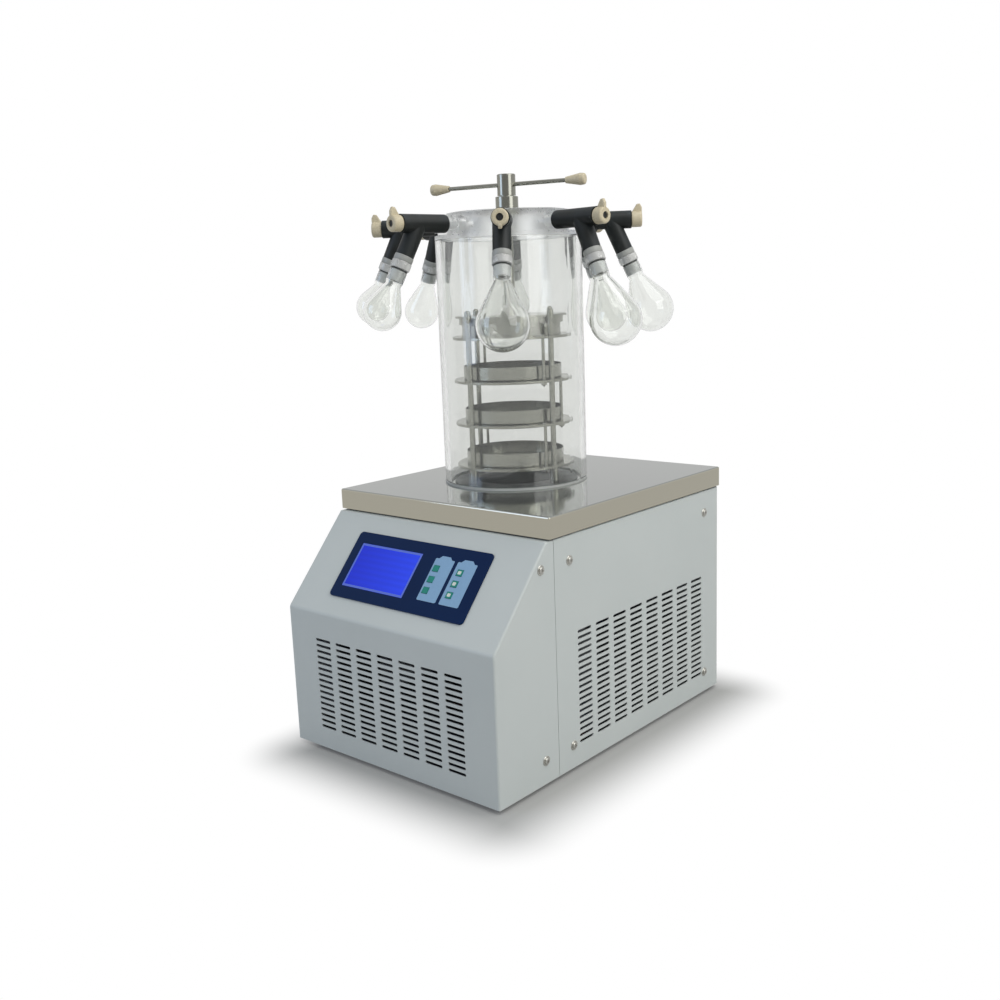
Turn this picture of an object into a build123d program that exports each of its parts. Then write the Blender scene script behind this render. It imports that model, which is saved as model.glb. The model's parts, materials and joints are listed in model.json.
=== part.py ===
from build123d import *
import math
import os

# Tabletop freeze dryer with a clear drying chamber, a stoppering rack inside it and eight flask ports.
# Millimetres.  X points right as seen from the front, Y to the back, Z up.
# The origin is on the surface that the feet stand on, under the middle of the cabinet.

# ---------------------------------------------------------------- cabinet
cabinet_width = 400.0
cabinet_depth = 556.0
cabinet_height = 334.0          # from the lower edge of the covers to the underside of the deck
foot_height = 6.0
foot_radius = 14.0
foot_inset_x = 35.0
foot_inset_y = 43.0
sheet = 1.5                     # covers and deck
floor_sheet = 2.0               # chassis
fold_radius = 3.0               # outside radius of the folded sheet edges
front_bend_height = 208.0       # height of the bend between the upright front and the slope
front_bend_radius = 9.0
slope_setback = 111.0           # how far the slope leans back
seam_depth = 126.0              # front face to the joint between front cover and side panels
seam_gap = 0.8
reveal = 2.2                    # dark gap between the covers and the deck
top_return = 12.0               # folded lip at the top of the front cover
side_return = 12.0              # folded lips of the side panels
panel_gap = 0.3                 # between neighbouring sheets

deck_height = 30.0
deck_overhang = 2.2
deck_front_setback = 5.3        # deck front edge behind the top of the slope
deck_edge_radius = 2.5
deck_hole_radius = 96.0

# ---------------------------------------------------------------- vents and cover screws
slot_length = 31.5
slot_height = 4.2
slot_column_pitch = 42.6
slot_row_pitch = 8.85
front_slot_columns = 7
front_slot_rows = 16
front_slot_middle = 100.0       # middle of the field above the covers' lower edge
side_slot_columns = 8
side_slot_rows = 19
side_slot_middle = 113.0
side_slot_start = 190.5         # front face to the middle of the first column
rear_slot_columns = 3
rear_slot_rows = 12
rear_slot_middle_x = -85.0
rear_slot_middle = 100.0

screw_shank_radius = 2.4
screw_head_radius = 4.6
screw_head_height = 1.9
screw_cup_radius = 7.0
screw_cup_height = 1.2
screw_length = 8.0
screw_hole_clearance = 0.2
screw_low = 33.0                # above the covers' lower edge
screw_high = 297.0
front_screw_depth = 98.0        # front face to the screws of the front cover
side_screw_depth = 160.0        # front face to the first screws of the side panel
rear_screw_inset = 43.0         # from the rear face, on the side panels
rear_panel_screw_inset = 22.0   # from each side of the cabinet

# ---------------------------------------------------------------- control panel on the slope
panel_width = 260.0
panel_height = 106.5
panel_thickness = 2.5
panel_middle = 83.3             # from the front bend up the slope
panel_corner = 6.0
display_width = 123.0
display_height = 71.0
display_x = -53.0
display_recess = 0.5
pad_width = 35.5
pad_height = 65.5
pad_relief = 0.3
pad_tab_width = 15.0
pad_tab_height = 4.5
pad_x = (53.0, 94.3)
key_x = (43.8, 87.8)
key_width = 11.0
key_height = 10.0
key_pitch = 17.0
key_stand = 0.8                 # above the panel
key_gap = 0.3                   # all round, in its hole
key_flange = 1.2
key_flange_thickness = 1.0
key_flange_gap = 0.3            # below the panel, key at rest
key_travel = 0.6
board_gap = key_travel + key_flange_gap
board_stud_radius = 3.0
board_thickness = 1.6
board_width = 236.0
board_height = 88.0
window_margin = 7.0             # board to the edge of the hole in the sheet

# ---------------------------------------------------------------- cold trap, chamber and head
chamber_x = -23.0
chamber_y = 44.0
trap_radius = 85.0              # inside of the well
trap_depth = 150.0
trap_wall = 1.5
jacket_gap = 8.5                # refrigerant space between the two walls
trap_flange_radius = 108.0
trap_flange_thickness = 2.0
foam_thickness = 28.0
foam_drop = 14.0                # air gap from the deck frame to the foam
vacuum_bore_radius = 12.0
vacuum_wall = 2.0
vacuum_height = 262.0
vacuum_flange_radius = 20.0
vacuum_flange_thickness = 5.0
vacuum_reach = 36.0             # behind the rear panel
refrigerant_pipe_radius = 5.0
refrigerant_pipe_wall = 1.0
trap_pipe_angles = (200.0, 230.0)

gasket_height = 3.0
gasket_overlap = 0.5            # past the tube, outside
tube_radius = 110.0
tube_wall = 8.0
tube_height = 362.0
lid_thickness = 6.0             # acrylic plate that closes the tube
hub_radius = 92.0
hub_height = 32.0
plenum_radius = 62.0
plenum_roof = 9.0
port_height = 14.0              # port axes above the lid plate
port_count = 8
first_port_angle = -53.0        # port 1 looks at the user's right shoulder
shoulder_radius = 13.0
shoulder_reach = 105.0          # from the chamber axis
nozzle_radius = 9.0
nozzle_reach = 130.0
nozzle_bore = 5.0

# ---------------------------------------------------------------- port valves, knobs and flasks
valve_radius = 13.0
valve_reach = 184.0
nozzle_fit = 0.1
valve_passage = 5.0
branch_start = 153.0
branch_tilt = 24.0              # from straight down, outwards
branch_length = 49.0
knob_stem_radius = 6.0
knob_stem_length = 26.0
knob_radius = 11.5
knob_length = 15.5
knob_gap = 0.3
knob_dimple_radius = 5.0
knob_dimple_depth = 4.0
fin_thickness = 5.5
fin_top_width = 5.0
fin_setback = 3.0               # outer face of the knob to the tip of its lever
fin_tip_heights = (15.5, 22.5, 22.5, 22.5, 22.5, 22.5, 22.5, 22.5)      # port 1 has the short lever
spigot_radius = 9.0
spigot_length = 16.0
adaptor_ring_radius = 13.6
adaptor_ring_length = 8.0
collar_radius = 14.1
collar_length = 11.5
groove_radius = 11.5
groove_length = 2.2
cone_length = 15.0
adaptor_bore = 5.5
neck_radius = 12.4
neck_length = 16.5
neck_waist = 11.4
waist_length = 5.0
glass_wall = 1.8
cone_gap = 0.1
flask_bulb_radii = (36.5, 36.5, 34.0, 36.5, 25.5, 28.0, 26.5, 27.0)     # port by port
flask_reaches = (190.0, 190.0, 178.0, 190.0, 158.0, 167.0, 152.0, 159.0)    # port axis to the bottom
valve_seats = (0.0, 0.0, 0.0, 0.0, 0.0, 12.0, 5.0, 16.0)        # valve out along its nozzle
valve_swings = (0.0, 0.0, 0.0, 0.0, 0.0, 0.0, 0.0, -10.0)       # branch turned about its nozzle

# ---------------------------------------------------------------- press: gland, handle and spindle
gland_radius = 17.0
gland_height = 22.0
gland_spigot_radius = 12.0
spindle_radius = 7.5
running_gap = 0.3
sleeve_radius = 10.5
sleeve_length = 18.0
cap_radius = 13.8
cap_height = 30.8
cap_groove = 1.5                # between gland and cap
cap_edge = 1.5
bar_radius = 3.0
bar_half_length = 122.0
bar_drop = 15.0                 # from the top of the cap to the bar
bar_angle = 16.0
grip_inner_radius = 4.6
grip_outer_radius = 8.6
grip_length = 30.0
grip_overrun = 3.0
grip_gap = 0.1
press_travel = 16.0
foot_disc_radius = 20.0
foot_disc_height = 3.0
foot_cone_height = 13.0
foot_cone_top = 10.5

# ---------------------------------------------------------------- rack
rack_base_thickness = 3.0
rack_base_bore = 60.0
rack_base_gap = 0.5
post_circle = 84.0
post_radius = 4.0
post_count = 4
post_angle = -98.0
leg_radius = 6.0
leg_height = 22.75
stud_radius = 3.0
acorn_radius = 4.6
acorn_height = 9.0
shelf_radius = 90.0
shelf_thickness = 4.0
shelf_pitch = 64.5
shelf_count = 4
slide_gap = 0.3
pin_radius = 2.3
pin_head_radius = 4.0
pin_head_height = 1.5
pin_nut_height = 3.0
pin_tip_length = 3.0
pin_nut_gap = 0.3               # nut to the underside of the hanging shelf
pin_turn = (-10.0, 14.0)        # hanger pins, turned from the right-hand post, gap by gap
tray_radius = 75.0
tray_height = 20.0
tray_wall = 1.0
press_rim_radius = 75.0
press_rim_wall = 2.0
press_rim_height = 17.0         # stiffening rim on the pressed shelf
yoke_height = 27.75             # top shelf to the underside of the yoke plate
yoke_thickness = 2.5
yoke_radius = 84.5
yoke_ear_radius = 6.0           # round each post
yoke_rim_radius = 79.0
yoke_rim_height = 10.0
yoke_rim_wall = 3.0
yoke_boss_radius = 17.0
yoke_boss_top_radius = 10.5
yoke_boss_height = 14.0

# ---------------------------------------------------------------- cooling and electrics inside
compressor_radius = 68.0
compressor_height = 148.0
compressor_x = -75.0
compressor_y = 150.0
compressor_stand = 12.0
compressor_plate = 150.0
condenser_thickness = 38.0
condenser_width = 230.0
condenser_height = 178.0
condenser_clearance = 9.0       # from the right side panel
condenser_y = 61.0
fin_pitch = 9.5
fin_sheet = 0.8
coil_radius = 4.5
coil_rows = 6
fan_radius = 78.0
fan_tip_gap = 4.0
fan_hub_radius = 22.0
fan_depth = 20.0
fan_blades = 5
fan_pitch = 28.0
blade_sheet = 1.6
shroud_depth = 26.0
motor_radius = 30.0
motor_length = 42.0
motor_shaft_radius = 4.0
upright_leg = 25.0
upright_front = 38.0            # seam bracket in front of the seam
upright_back = 44.0             # seam bracket behind the seam
rail_width = 25.0
rail_thickness = 3.0
floor_flange = 16.0
inlet_x = 130.0
inlet_height = 60.0
inlet_flange_width = 34.0
inlet_flange_height = 74.0
inlet_flange_thickness = 3.0
inlet_body_depth = 30.0
inlet_body_inset = 3.0
socket_width = 24.0
socket_height = 16.0
socket_depth = 20.0
socket_drop = 16.0
blade_width = 4.0
blade_thickness = 2.0
blade_length = 15.0
blade_spacing = 7.0
rocker_width = 20.0
rocker_height = 24.0
rocker_rise = 17.0
rocker_thickness = 7.0
rocker_tilt = 8.0
rocker_gap = 0.6

# ---------------------------------------------------------------- levels and places worked out from these
half_width = cabinet_width / 2
front_y = -cabinet_depth / 2
rear_y = cabinet_depth / 2
base_z = foot_height
seam_y = front_y + seam_depth
deck_under = base_z + cabinet_height
deck_top = deck_under + deck_height
cover_top = deck_under - reveal
bend_z = base_z + front_bend_height
slope_top_y = front_y + slope_setback
slope_length = math.hypot(slope_setback, cover_top - bend_z)
slope_angle = math.degrees(math.atan2(cover_top - bend_z, slope_setback))
deck_front_y = slope_top_y + deck_front_setback
floor_top = base_z + floor_sheet
sheet_under = deck_top - sheet

gasket_top = deck_top + gasket_height
tube_top = gasket_top + tube_height
lid_top = tube_top + lid_thickness
hub_top = lid_top + hub_height
port_z = lid_top + port_height
gland_top = hub_top + gland_height
cap_bottom = gland_top + cap_groove
cap_top = cap_bottom + cap_height
bar_z = cap_top - bar_drop

rack_base_under = sheet_under
rack_base_top = rack_base_under + rack_base_thickness
lowest_shelf = rack_base_top + leg_height
yoke_under = lowest_shelf + shelf_pitch * (shelf_count - 1) + shelf_thickness + yoke_height
yoke_top = yoke_under + yoke_thickness
port_angles = [first_port_angle + 360.0 / port_count * index for index in range(port_count)]
post_angles = [post_angle + 360.0 / post_count * index for index in range(post_count)]


def cylinder(radius, low, high):
    """Upright cylinder on the Z axis between two heights."""
    return Pos(0, 0, low) * Cylinder(radius, high - low, align=(Align.CENTER, Align.CENTER, Align.MIN))


def tube(outer, inner, low, high):
    """Upright tube on the Z axis between two heights."""
    return cylinder(outer, low, high) - cylinder(inner, low, high)


def box(low, high):
    """Box between two corners."""
    size = [high[axis] - low[axis] for axis in range(3)]
    return Pos(*low) * Box(*size, align=(Align.MIN, Align.MIN, Align.MIN))


def along_x(shape):
    """Turns a shape made on the Z axis so that its axis runs along +X."""
    return Rot(0, 90, 0) * shape


def along_y(shape):
    """Turns a shape made on the Z axis so that its axis runs along +Y."""
    return Rot(-90, 0, 0) * shape


def at_chamber(shape, angle=0.0):
    """Places a shape made round the Z axis on the chamber axis, turned by an angle."""
    return Pos(chamber_x, chamber_y, 0) * Rot(0, 0, angle) * shape


def at_polar(radius, angle, shape):
    """Moves an upright shape out from the Z axis."""
    turn = math.radians(angle)
    return Pos(radius * math.cos(turn), radius * math.sin(turn), 0) * shape


def on_slope(shape):
    """Puts a shape drawn flat on the slope: X to the right, Y up the slope from the bend, Z outwards."""
    return Pos(0, front_y, bend_z) * Rot(slope_angle, 0, 0) * shape


def rounded_plate(width, height, thickness, corner):
    """Flat plate with rounded corners, its underside at zero."""
    return extrude(RectangleRounded(width, height, corner), thickness)


def save(name, shape):
    """Writes one node."""
    export_step(shape, f"parts/{name}.step")


# ---------------------------------------------------------------- chassis and feet
def make_chassis():
    inner_x = half_width - sheet - panel_gap
    low_y = front_y + sheet + panel_gap
    high_y = rear_y - sheet - panel_gap
    pan = box((-inner_x, low_y, base_z), (inner_x, high_y, base_z + floor_flange))
    pan -= box((-inner_x + floor_sheet, low_y + floor_sheet, floor_top),
               (inner_x - floor_sheet, high_y - floor_sheet, base_z + floor_flange))
    top = sheet_under
    rail_front = seam_y - panel_gap + floor_sheet
    rails = box((-inner_x, rail_front, top - rail_thickness), (inner_x, high_y, top))
    rails -= box((-inner_x + rail_width, rail_front + rail_width, top - rail_thickness),
                 (inner_x - rail_width, high_y - rail_width, top))
    frame = pan + rails
    wing = seam_y - upright_front
    slope_clear = (cover_top - bend_z) / slope_setback
    wing_front_z = bend_z + slope_clear * (wing - front_y) - 3 * sheet
    wing_top_z = cover_top - 3 * sheet
    wing_bend_y = front_y + (wing_top_z + 3 * sheet - bend_z) / slope_clear
    bracket_profile = Polyline((wing, floor_top), (seam_y + upright_back, floor_top),
                               (seam_y + upright_back, wing_top_z), (wing_bend_y, wing_top_z),
                               (wing, wing_front_z), close=True)
    bracket = extrude(Plane.YZ * make_face(bracket_profile), floor_sheet)
    for side in (-1, 1):
        plate_x = inner_x - floor_sheet if side > 0 else -inner_x
        frame += Pos(plate_x, 0, 0) * bracket
        leg_low = min(side * inner_x, side * (inner_x - floor_sheet))
        leg_high = max(side * inner_x, side * (inner_x - floor_sheet))
        frame += box((leg_low, rail_front, wing_top_z), (leg_high, seam_y + upright_back, top))
        web_low = min(side * inner_x, side * (inner_x - upright_leg))
        web_high = max(side * inner_x, side * (inner_x - upright_leg))
        frame += box((web_low, seam_y + floor_sheet, floor_top),
                     (web_high, seam_y + 2 * floor_sheet, top))
        frame += box((leg_low, high_y - upright_leg - side_return, floor_top), (leg_high, high_y, top))
        frame += box((web_low, high_y - floor_sheet, floor_top), (web_high, high_y, top))
    envelope = box((-inner_x, low_y, base_z), (inner_x, high_y, top))
    frame &= fillet(envelope.edges().filter_by(Axis.Z), fold_radius)
    for hole in screw_holes(side_screw_places() + rear_screw_places()):
        frame -= hole
    frame -= vacuum_tube_hole(panel_gap)
    return frame


def make_feet():
    feet = []
    for side_x in (-1, 1):
        for side_y in (-1, 1):
            foot = cylinder(foot_radius, 0, foot_height)
            foot = chamfer(foot.edges().group_by(Axis.Z)[0], foot_height / 6)
            feet.append(Pos(side_x * (half_width - foot_inset_x), side_y * (rear_y - foot_inset_y), 0) * foot)
    return Compound(feet)


# ---------------------------------------------------------------- covers
def side_screw_places():
    """Frames on both flanks, local +X pointing out of the cover."""
    places = []
    for depth in (front_screw_depth, side_screw_depth, cabinet_depth - rear_screw_inset):
        for height in (screw_low, screw_high):
            places.append(Pos(half_width, front_y + depth, base_z + height))
            places.append(Pos(-half_width, front_y + depth, base_z + height) * Rot(0, 0, 180))
    return places


def rear_screw_places():
    """Frames on the rear panel, local +X pointing backwards."""
    places = []
    for side in (-1, 1):
        for height in (screw_low, screw_high):
            spot = Pos(side * (half_width - rear_panel_screw_inset), rear_y, base_z + height)
            places.append(spot * Rot(0, 0, 90))
    return places


def screw_holes(places):
    drill = along_x(cylinder(screw_shank_radius + screw_hole_clearance, -screw_length, screw_length))
    return [place * drill for place in places]


def slot_field(columns, rows):
    """Grid of round-ended slots, flat, as a cutter."""
    field = Sketch() + [place * SlotOverall(slot_length, slot_height)
                        for place in GridLocations(slot_column_pitch, slot_row_pitch, columns, rows)]
    return extrude(field, 4 * sheet, both=True)


def make_front_cover():
    outline = Polyline((front_y, base_z), (front_y, bend_z), (slope_top_y, cover_top),
                       (slope_top_y + top_return, cover_top), (seam_y, cover_top), (seam_y, base_z),
                       close=True)
    profile = make_face(outline)
    bends = profile.vertices().filter_by(lambda v: abs(v.X - front_y) < 1e-6 and abs(v.Y - bend_z) < 1e-6)
    tops = profile.vertices().filter_by(lambda v: abs(v.X - slope_top_y) < 1e-6)
    rounded = fillet(bends, front_bend_radius)
    tops = rounded.vertices().filter_by(lambda v: abs(v.X - slope_top_y) < 1e-6)
    rounded = fillet(tops, fold_radius)
    outer = extrude(Plane.YZ * rounded, half_width, both=True)
    flank_edges = outer.edges().filter_by(
        lambda e: abs(abs(e.center().X) - half_width) < 1e-6
        and e.center().Y < slope_top_y + fold_radius and e.center().Z > base_z + 1)
    outer = fillet(flank_edges, fold_radius)
    inner_profile = offset(rounded, -sheet)
    inner = extrude(Plane.YZ * inner_profile, half_width - sheet, both=True)
    inner_edges = inner.edges().filter_by(
        lambda e: abs(abs(e.center().X) - (half_width - sheet)) < 1e-6
        and e.center().Y < slope_top_y + fold_radius and e.center().Z > base_z + 2 * sheet)
    inner = fillet(inner_edges, fold_radius - sheet)
    cover = outer - inner
    cover -= box((-half_width + sheet, front_y + sheet, base_z - 1), (half_width - sheet, seam_y + 1, bend_z / 2))
    cover -= box((-half_width + sheet, slope_top_y + top_return, base_z), (half_width - sheet, seam_y + 1, cover_top + 1))
    vents = Pos(0, front_y, base_z + front_slot_middle) * Rot(90, 0, 0)
    cover -= vents * slot_field(front_slot_columns, front_slot_rows)
    hole = rounded_plate(board_width + window_margin, board_height + window_margin, 4 * sheet, panel_corner)
    cover -= on_slope(Pos(0, panel_middle, -2 * sheet) * hole)
    for hole in screw_holes(side_screw_places()):
        cover -= hole
    return cover


def make_side_panel(side):
    """Side panel with lips folded inwards at the top and at the rear; only the right one has vents."""
    low_y = seam_y + seam_gap
    outer = box((half_width - side_return, low_y, base_z), (half_width, rear_y, cover_top))
    outer = fillet(outer.edges().filter_by(
        lambda e: abs(e.center().X - half_width) < 1e-6
        and (e.center().Y > rear_y - 1e-6 or e.center().Z > cover_top - 1e-6)), fold_radius)
    inner = box((half_width - side_return - 1, low_y - 1, base_z - 1),
                (half_width - sheet, rear_y - sheet, cover_top - sheet))
    inner = fillet(inner.edges().filter_by(
        lambda e: abs(e.center().X - (half_width - sheet)) < 1e-6
        and (e.center().Y > rear_y - sheet - 1e-6 or e.center().Z > cover_top - sheet - 1e-6)),
        fold_radius - sheet)
    panel = outer - inner
    notch_x = half_width - sheet
    panel -= box((0, low_y - 1, cover_top - 2 * sheet),
                 (notch_x, seam_y + upright_back + panel_gap, cover_top + 1))
    panel -= box((0, rear_y - upright_leg - side_return - 2 * panel_gap - sheet, cover_top - 2 * sheet),
                 (notch_x, rear_y - sheet, cover_top + 1))
    if side > 0:
        middle_y = front_y + side_slot_start + slot_column_pitch * (side_slot_columns - 1) / 2
        vents = Pos(half_width, middle_y, base_z + side_slot_middle) * Rot(0, 0, 90) * Rot(90, 0, 0)
        panel -= vents * slot_field(side_slot_columns, side_slot_rows)
    else:
        panel = panel.mirror(Plane.YZ)
    for hole in screw_holes(side_screw_places()):
        panel -= hole
    return panel


def vacuum_tube_hole(gap):
    radius = vacuum_bore_radius + vacuum_wall + gap
    tunnel = along_y(cylinder(radius, trap_radius, rear_y + vacuum_reach))
    return Pos(chamber_x, chamber_y, vacuum_height) * tunnel


def make_rear_panel():
    inner_x = half_width - side_return - panel_gap
    panel = box((-inner_x, rear_y - sheet, base_z), (inner_x, rear_y, cover_top))
    vents = Pos(rear_slot_middle_x, rear_y, base_z + rear_slot_middle) * Rot(90, 0, 0)
    panel -= vents * slot_field(rear_slot_columns, rear_slot_rows)
    panel -= vacuum_tube_hole(1.0)
    panel -= Pos(inlet_x, rear_y, base_z + inlet_height) * Box(
        inlet_flange_width - 2 * inlet_body_inset + 2 * panel_gap, 4 * sheet,
        inlet_flange_height - 2 * inlet_body_inset + 2 * panel_gap)
    for hole in screw_holes(rear_screw_places()):
        panel -= hole
    return panel


def make_top_deck():
    out_x = half_width + deck_overhang
    out_rear = rear_y + deck_overhang
    deck = box((-out_x, deck_front_y, deck_under), (out_x, out_rear, deck_top))
    deck = fillet(deck.edges().filter_by(Axis.Z) + deck.edges().group_by(Axis.Z)[-1], deck_edge_radius)
    hollow = box((-out_x + sheet, deck_front_y + sheet, deck_under - 1),
                 (out_x - sheet, out_rear - sheet, sheet_under))
    hollow = fillet(hollow.edges().filter_by(Axis.Z) + hollow.edges().group_by(Axis.Z)[-1],
                    deck_edge_radius - sheet)
    deck -= hollow
    deck -= at_chamber(cylinder(deck_hole_radius, sheet_under - 1, deck_top + 1))
    return deck


def make_cover_screws():
    cup = along_x(tube(screw_cup_radius, screw_shank_radius + screw_hole_clearance, 0, screw_cup_height))
    cup = chamfer(cup.edges().group_by(Axis.X)[-1].sort_by(SortBy.LENGTH)[-1], screw_cup_height / 2)
    head = along_x(cylinder(screw_head_radius, screw_cup_height, screw_cup_height + screw_head_height))
    head = fillet(head.edges().group_by(Axis.X)[-1], screw_head_height * 0.7)
    cross = Box(screw_head_height, screw_head_radius, screw_head_radius / 5)
    cross += Box(screw_head_height, screw_head_radius / 5, screw_head_radius)
    head -= Pos(screw_cup_height + screw_head_height, 0, 0) * cross
    shank = along_x(cylinder(screw_shank_radius, -screw_length, screw_cup_height))
    screw = cup + head + shank
    return Compound([place * screw for place in side_screw_places() + rear_screw_places()])


# ---------------------------------------------------------------- control panel
def key_places():
    """Places of the six keys on the slope: the left column from the top, then the right one."""
    return [(x, panel_middle + key_pitch * (1 - row)) for x in key_x for row in range(3)]


def board_drop():
    """Underside of the panel to the top of the circuit board."""
    return key_flange_gap + key_flange_thickness + board_gap


def make_control_panel():
    plate = rounded_plate(panel_width, panel_height, panel_thickness, panel_corner)
    plate = chamfer(plate.edges().group_by(Axis.Z)[-1], panel_thickness / 5)
    plate = Pos(0, panel_middle, 0) * plate
    for x in pad_x:
        pad = Pos(x, panel_middle, panel_thickness) * rounded_plate(pad_width, pad_height, pad_relief, 2.0)
        tab = Pos(x, panel_middle + pad_height / 2, panel_thickness) * extrude(
            Trapezoid(pad_tab_width + 2 * pad_tab_height, pad_tab_height, 45,
                      align=(Align.CENTER, Align.MIN)), pad_relief)
        plate += pad + tab
    plate -= Pos(display_x, panel_middle, 0) * Box(display_width, display_height, 4 * panel_thickness)
    for x, up in key_places():
        plate -= Pos(x, up, 0) * Box(key_width, key_height, 4 * panel_thickness)
    for place in GridLocations(board_width - 3 * board_stud_radius, board_height - 3 * board_stud_radius, 2, 2):
        stud = Cylinder(board_stud_radius, board_drop(), align=(Align.CENTER, Align.CENTER, Align.MAX))
        plate += Pos(0, panel_middle, 0) * place * stud
    return on_slope(plate)


def make_display():
    glass = rounded_plate(display_width - 2 * key_gap, display_height - 2 * key_gap, panel_thickness, 1.0)
    board_top = -board_drop()
    glass_block = Box(display_width - 6 * key_gap, display_height - 6 * key_gap, -board_top,
                      align=(Align.CENTER, Align.CENTER, Align.MIN))
    module = Pos(display_x, panel_middle, -display_recess) * glass
    module += Pos(display_x, panel_middle, board_top) * glass_block
    module += Pos(0, panel_middle, board_top - board_thickness) * rounded_plate(
        board_width, board_height, board_thickness, 3.0)
    return on_slope(module)


def make_key(x, up):
    top = panel_thickness + pad_relief + key_stand
    cap = rounded_plate(key_width - 2 * key_gap, key_height - 2 * key_gap, top, 1.2)
    cap = fillet(cap.edges().group_by(Axis.Z)[-1], key_stand / 2)
    shank = Box(key_width - 2 * key_gap, key_height - 2 * key_gap, key_flange_gap,
                align=(Align.CENTER, Align.CENTER, Align.MAX))
    flange = Pos(0, 0, -key_flange_gap) * Box(
        key_width + 2 * key_flange, key_height + 2 * key_flange, key_flange_thickness,
        align=(Align.CENTER, Align.CENTER, Align.MAX))
    return on_slope(Pos(x, up, 0) * (cap + shank + flange))


# ---------------------------------------------------------------- cold trap
def make_cold_trap():
    well_bottom = sheet_under - trap_depth
    flange_under = sheet_under - trap_flange_thickness
    outer_radius = trap_radius + 2 * trap_wall + jacket_gap
    shell = cylinder(outer_radius, well_bottom - 2 * trap_wall - jacket_gap, flange_under)
    space = tube(outer_radius - trap_wall, trap_radius + trap_wall,
                 well_bottom - trap_wall - jacket_gap, flange_under - trap_wall)
    space += cylinder(trap_radius + trap_wall + 1, well_bottom - trap_wall - jacket_gap, well_bottom - trap_wall)
    well = cylinder(trap_radius, well_bottom, sheet_under)
    stub_end = outer_radius + foam_thickness / 2
    stub = along_y(cylinder(vacuum_bore_radius + vacuum_wall, trap_radius - 1, stub_end))
    stub = Pos(0, 0, vacuum_height) * stub
    bore = Pos(0, 0, vacuum_height) * along_y(cylinder(vacuum_bore_radius, 0, stub_end))
    trap = shell - space + cylinder(trap_flange_radius, flange_under, sheet_under) + stub - well - bore
    pipe_low = well_bottom - 2 * trap_wall - jacket_gap - foam_thickness
    for angle in trap_pipe_angles:
        pipe = at_polar(trap_radius - 3 * refrigerant_pipe_radius, angle,
                        cylinder(refrigerant_pipe_radius, pipe_low, well_bottom - trap_wall - jacket_gap))
        drill = at_polar(trap_radius - 3 * refrigerant_pipe_radius, angle,
                         cylinder(refrigerant_pipe_radius - refrigerant_pipe_wall, pipe_low - 1,
                                  well_bottom - trap_wall - jacket_gap))
        trap = trap + pipe - drill
    return at_chamber(trap)


def make_trap_insulation():
    well_bottom = sheet_under - trap_depth
    inner = trap_radius + 2 * trap_wall + jacket_gap
    shell_bottom = well_bottom - 2 * trap_wall - jacket_gap
    top = sheet_under - rail_thickness - foam_drop
    foam = cylinder(inner + foam_thickness, shell_bottom - foam_thickness, top)
    foam -= cylinder(inner, shell_bottom, top)
    foam -= Pos(0, 0, vacuum_height) * along_y(
        cylinder(vacuum_bore_radius + vacuum_wall, 0, inner + 2 * foam_thickness))
    for angle in trap_pipe_angles:
        foam -= at_polar(trap_radius - 3 * refrigerant_pipe_radius, angle,
                         cylinder(refrigerant_pipe_radius, shell_bottom - 2 * foam_thickness, shell_bottom))
    return at_chamber(foam)


def make_vacuum_port():
    start = trap_radius + 2 * trap_wall + jacket_gap + foam_thickness / 2
    end = rear_y + vacuum_reach - chamber_y
    port = cylinder(vacuum_bore_radius + vacuum_wall, start, end)
    flange = cylinder(vacuum_flange_radius, end - vacuum_flange_thickness, end)
    cone_edge = flange.edges().group_by(Axis.Z)[0]
    port += chamfer(cone_edge, vacuum_flange_thickness * 0.4)
    port -= cylinder(vacuum_bore_radius, start, end)
    return Pos(chamber_x, chamber_y, vacuum_height) * along_y(port)


# ---------------------------------------------------------------- chamber and manifold head
def make_base_gasket():
    ring = tube(tube_radius + gasket_overlap, tube_radius - tube_wall - 1, deck_top, gasket_top)
    return at_chamber(fillet(ring.edges().group_by(Axis.Z)[-1], gasket_height / 4))


def make_chamber_tube():
    wall = tube(tube_radius, tube_radius - tube_wall, gasket_top, tube_top)
    return at_chamber(chamfer(wall.edges().group_by(Axis.Z)[-1], tube_wall / 16))


def make_manifold_head():
    head = cylinder(tube_radius, tube_top, lid_top) + cylinder(hub_radius, lid_top, hub_top)
    head = fillet(head.edges().group_by(Axis.Z)[-1], 1.5)
    for angle in port_angles:
        boss = cylinder(shoulder_radius, hub_radius - 5, shoulder_reach)
        boss += cylinder(nozzle_radius, shoulder_reach, nozzle_reach)
        head += Rot(0, 0, angle) * Pos(0, 0, port_z) * along_x(boss)
    head -= cylinder(plenum_radius, tube_top, hub_top - plenum_roof)
    for angle in port_angles:
        drill = cylinder(nozzle_bore, plenum_radius - 5, nozzle_reach + 1)
        head -= Rot(0, 0, angle) * Pos(0, 0, port_z) * along_x(drill)
    head -= cylinder(gland_spigot_radius, hub_top - plenum_roof, hub_top)
    return at_chamber(head)


# ---------------------------------------------------------------- port valves and flasks
def on_branch(shape):
    """Puts a shape made on the Z axis on a valve's branch: Z runs down the branch from the port axis."""
    return Pos(branch_start, 0, port_z) * Rot(0, 180 - branch_tilt, 0) * shape


def at_port(port, shape, swing=0.0):
    """Takes a piece made on a port along +X to a port of the head, on its valve's seat and swing."""
    turned = Pos(valve_seats[port], 0, port_z) * Rot(swing, 0, 0) * Pos(0, 0, -port_z)
    return at_chamber(turned * shape, port_angles[port])


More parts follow.
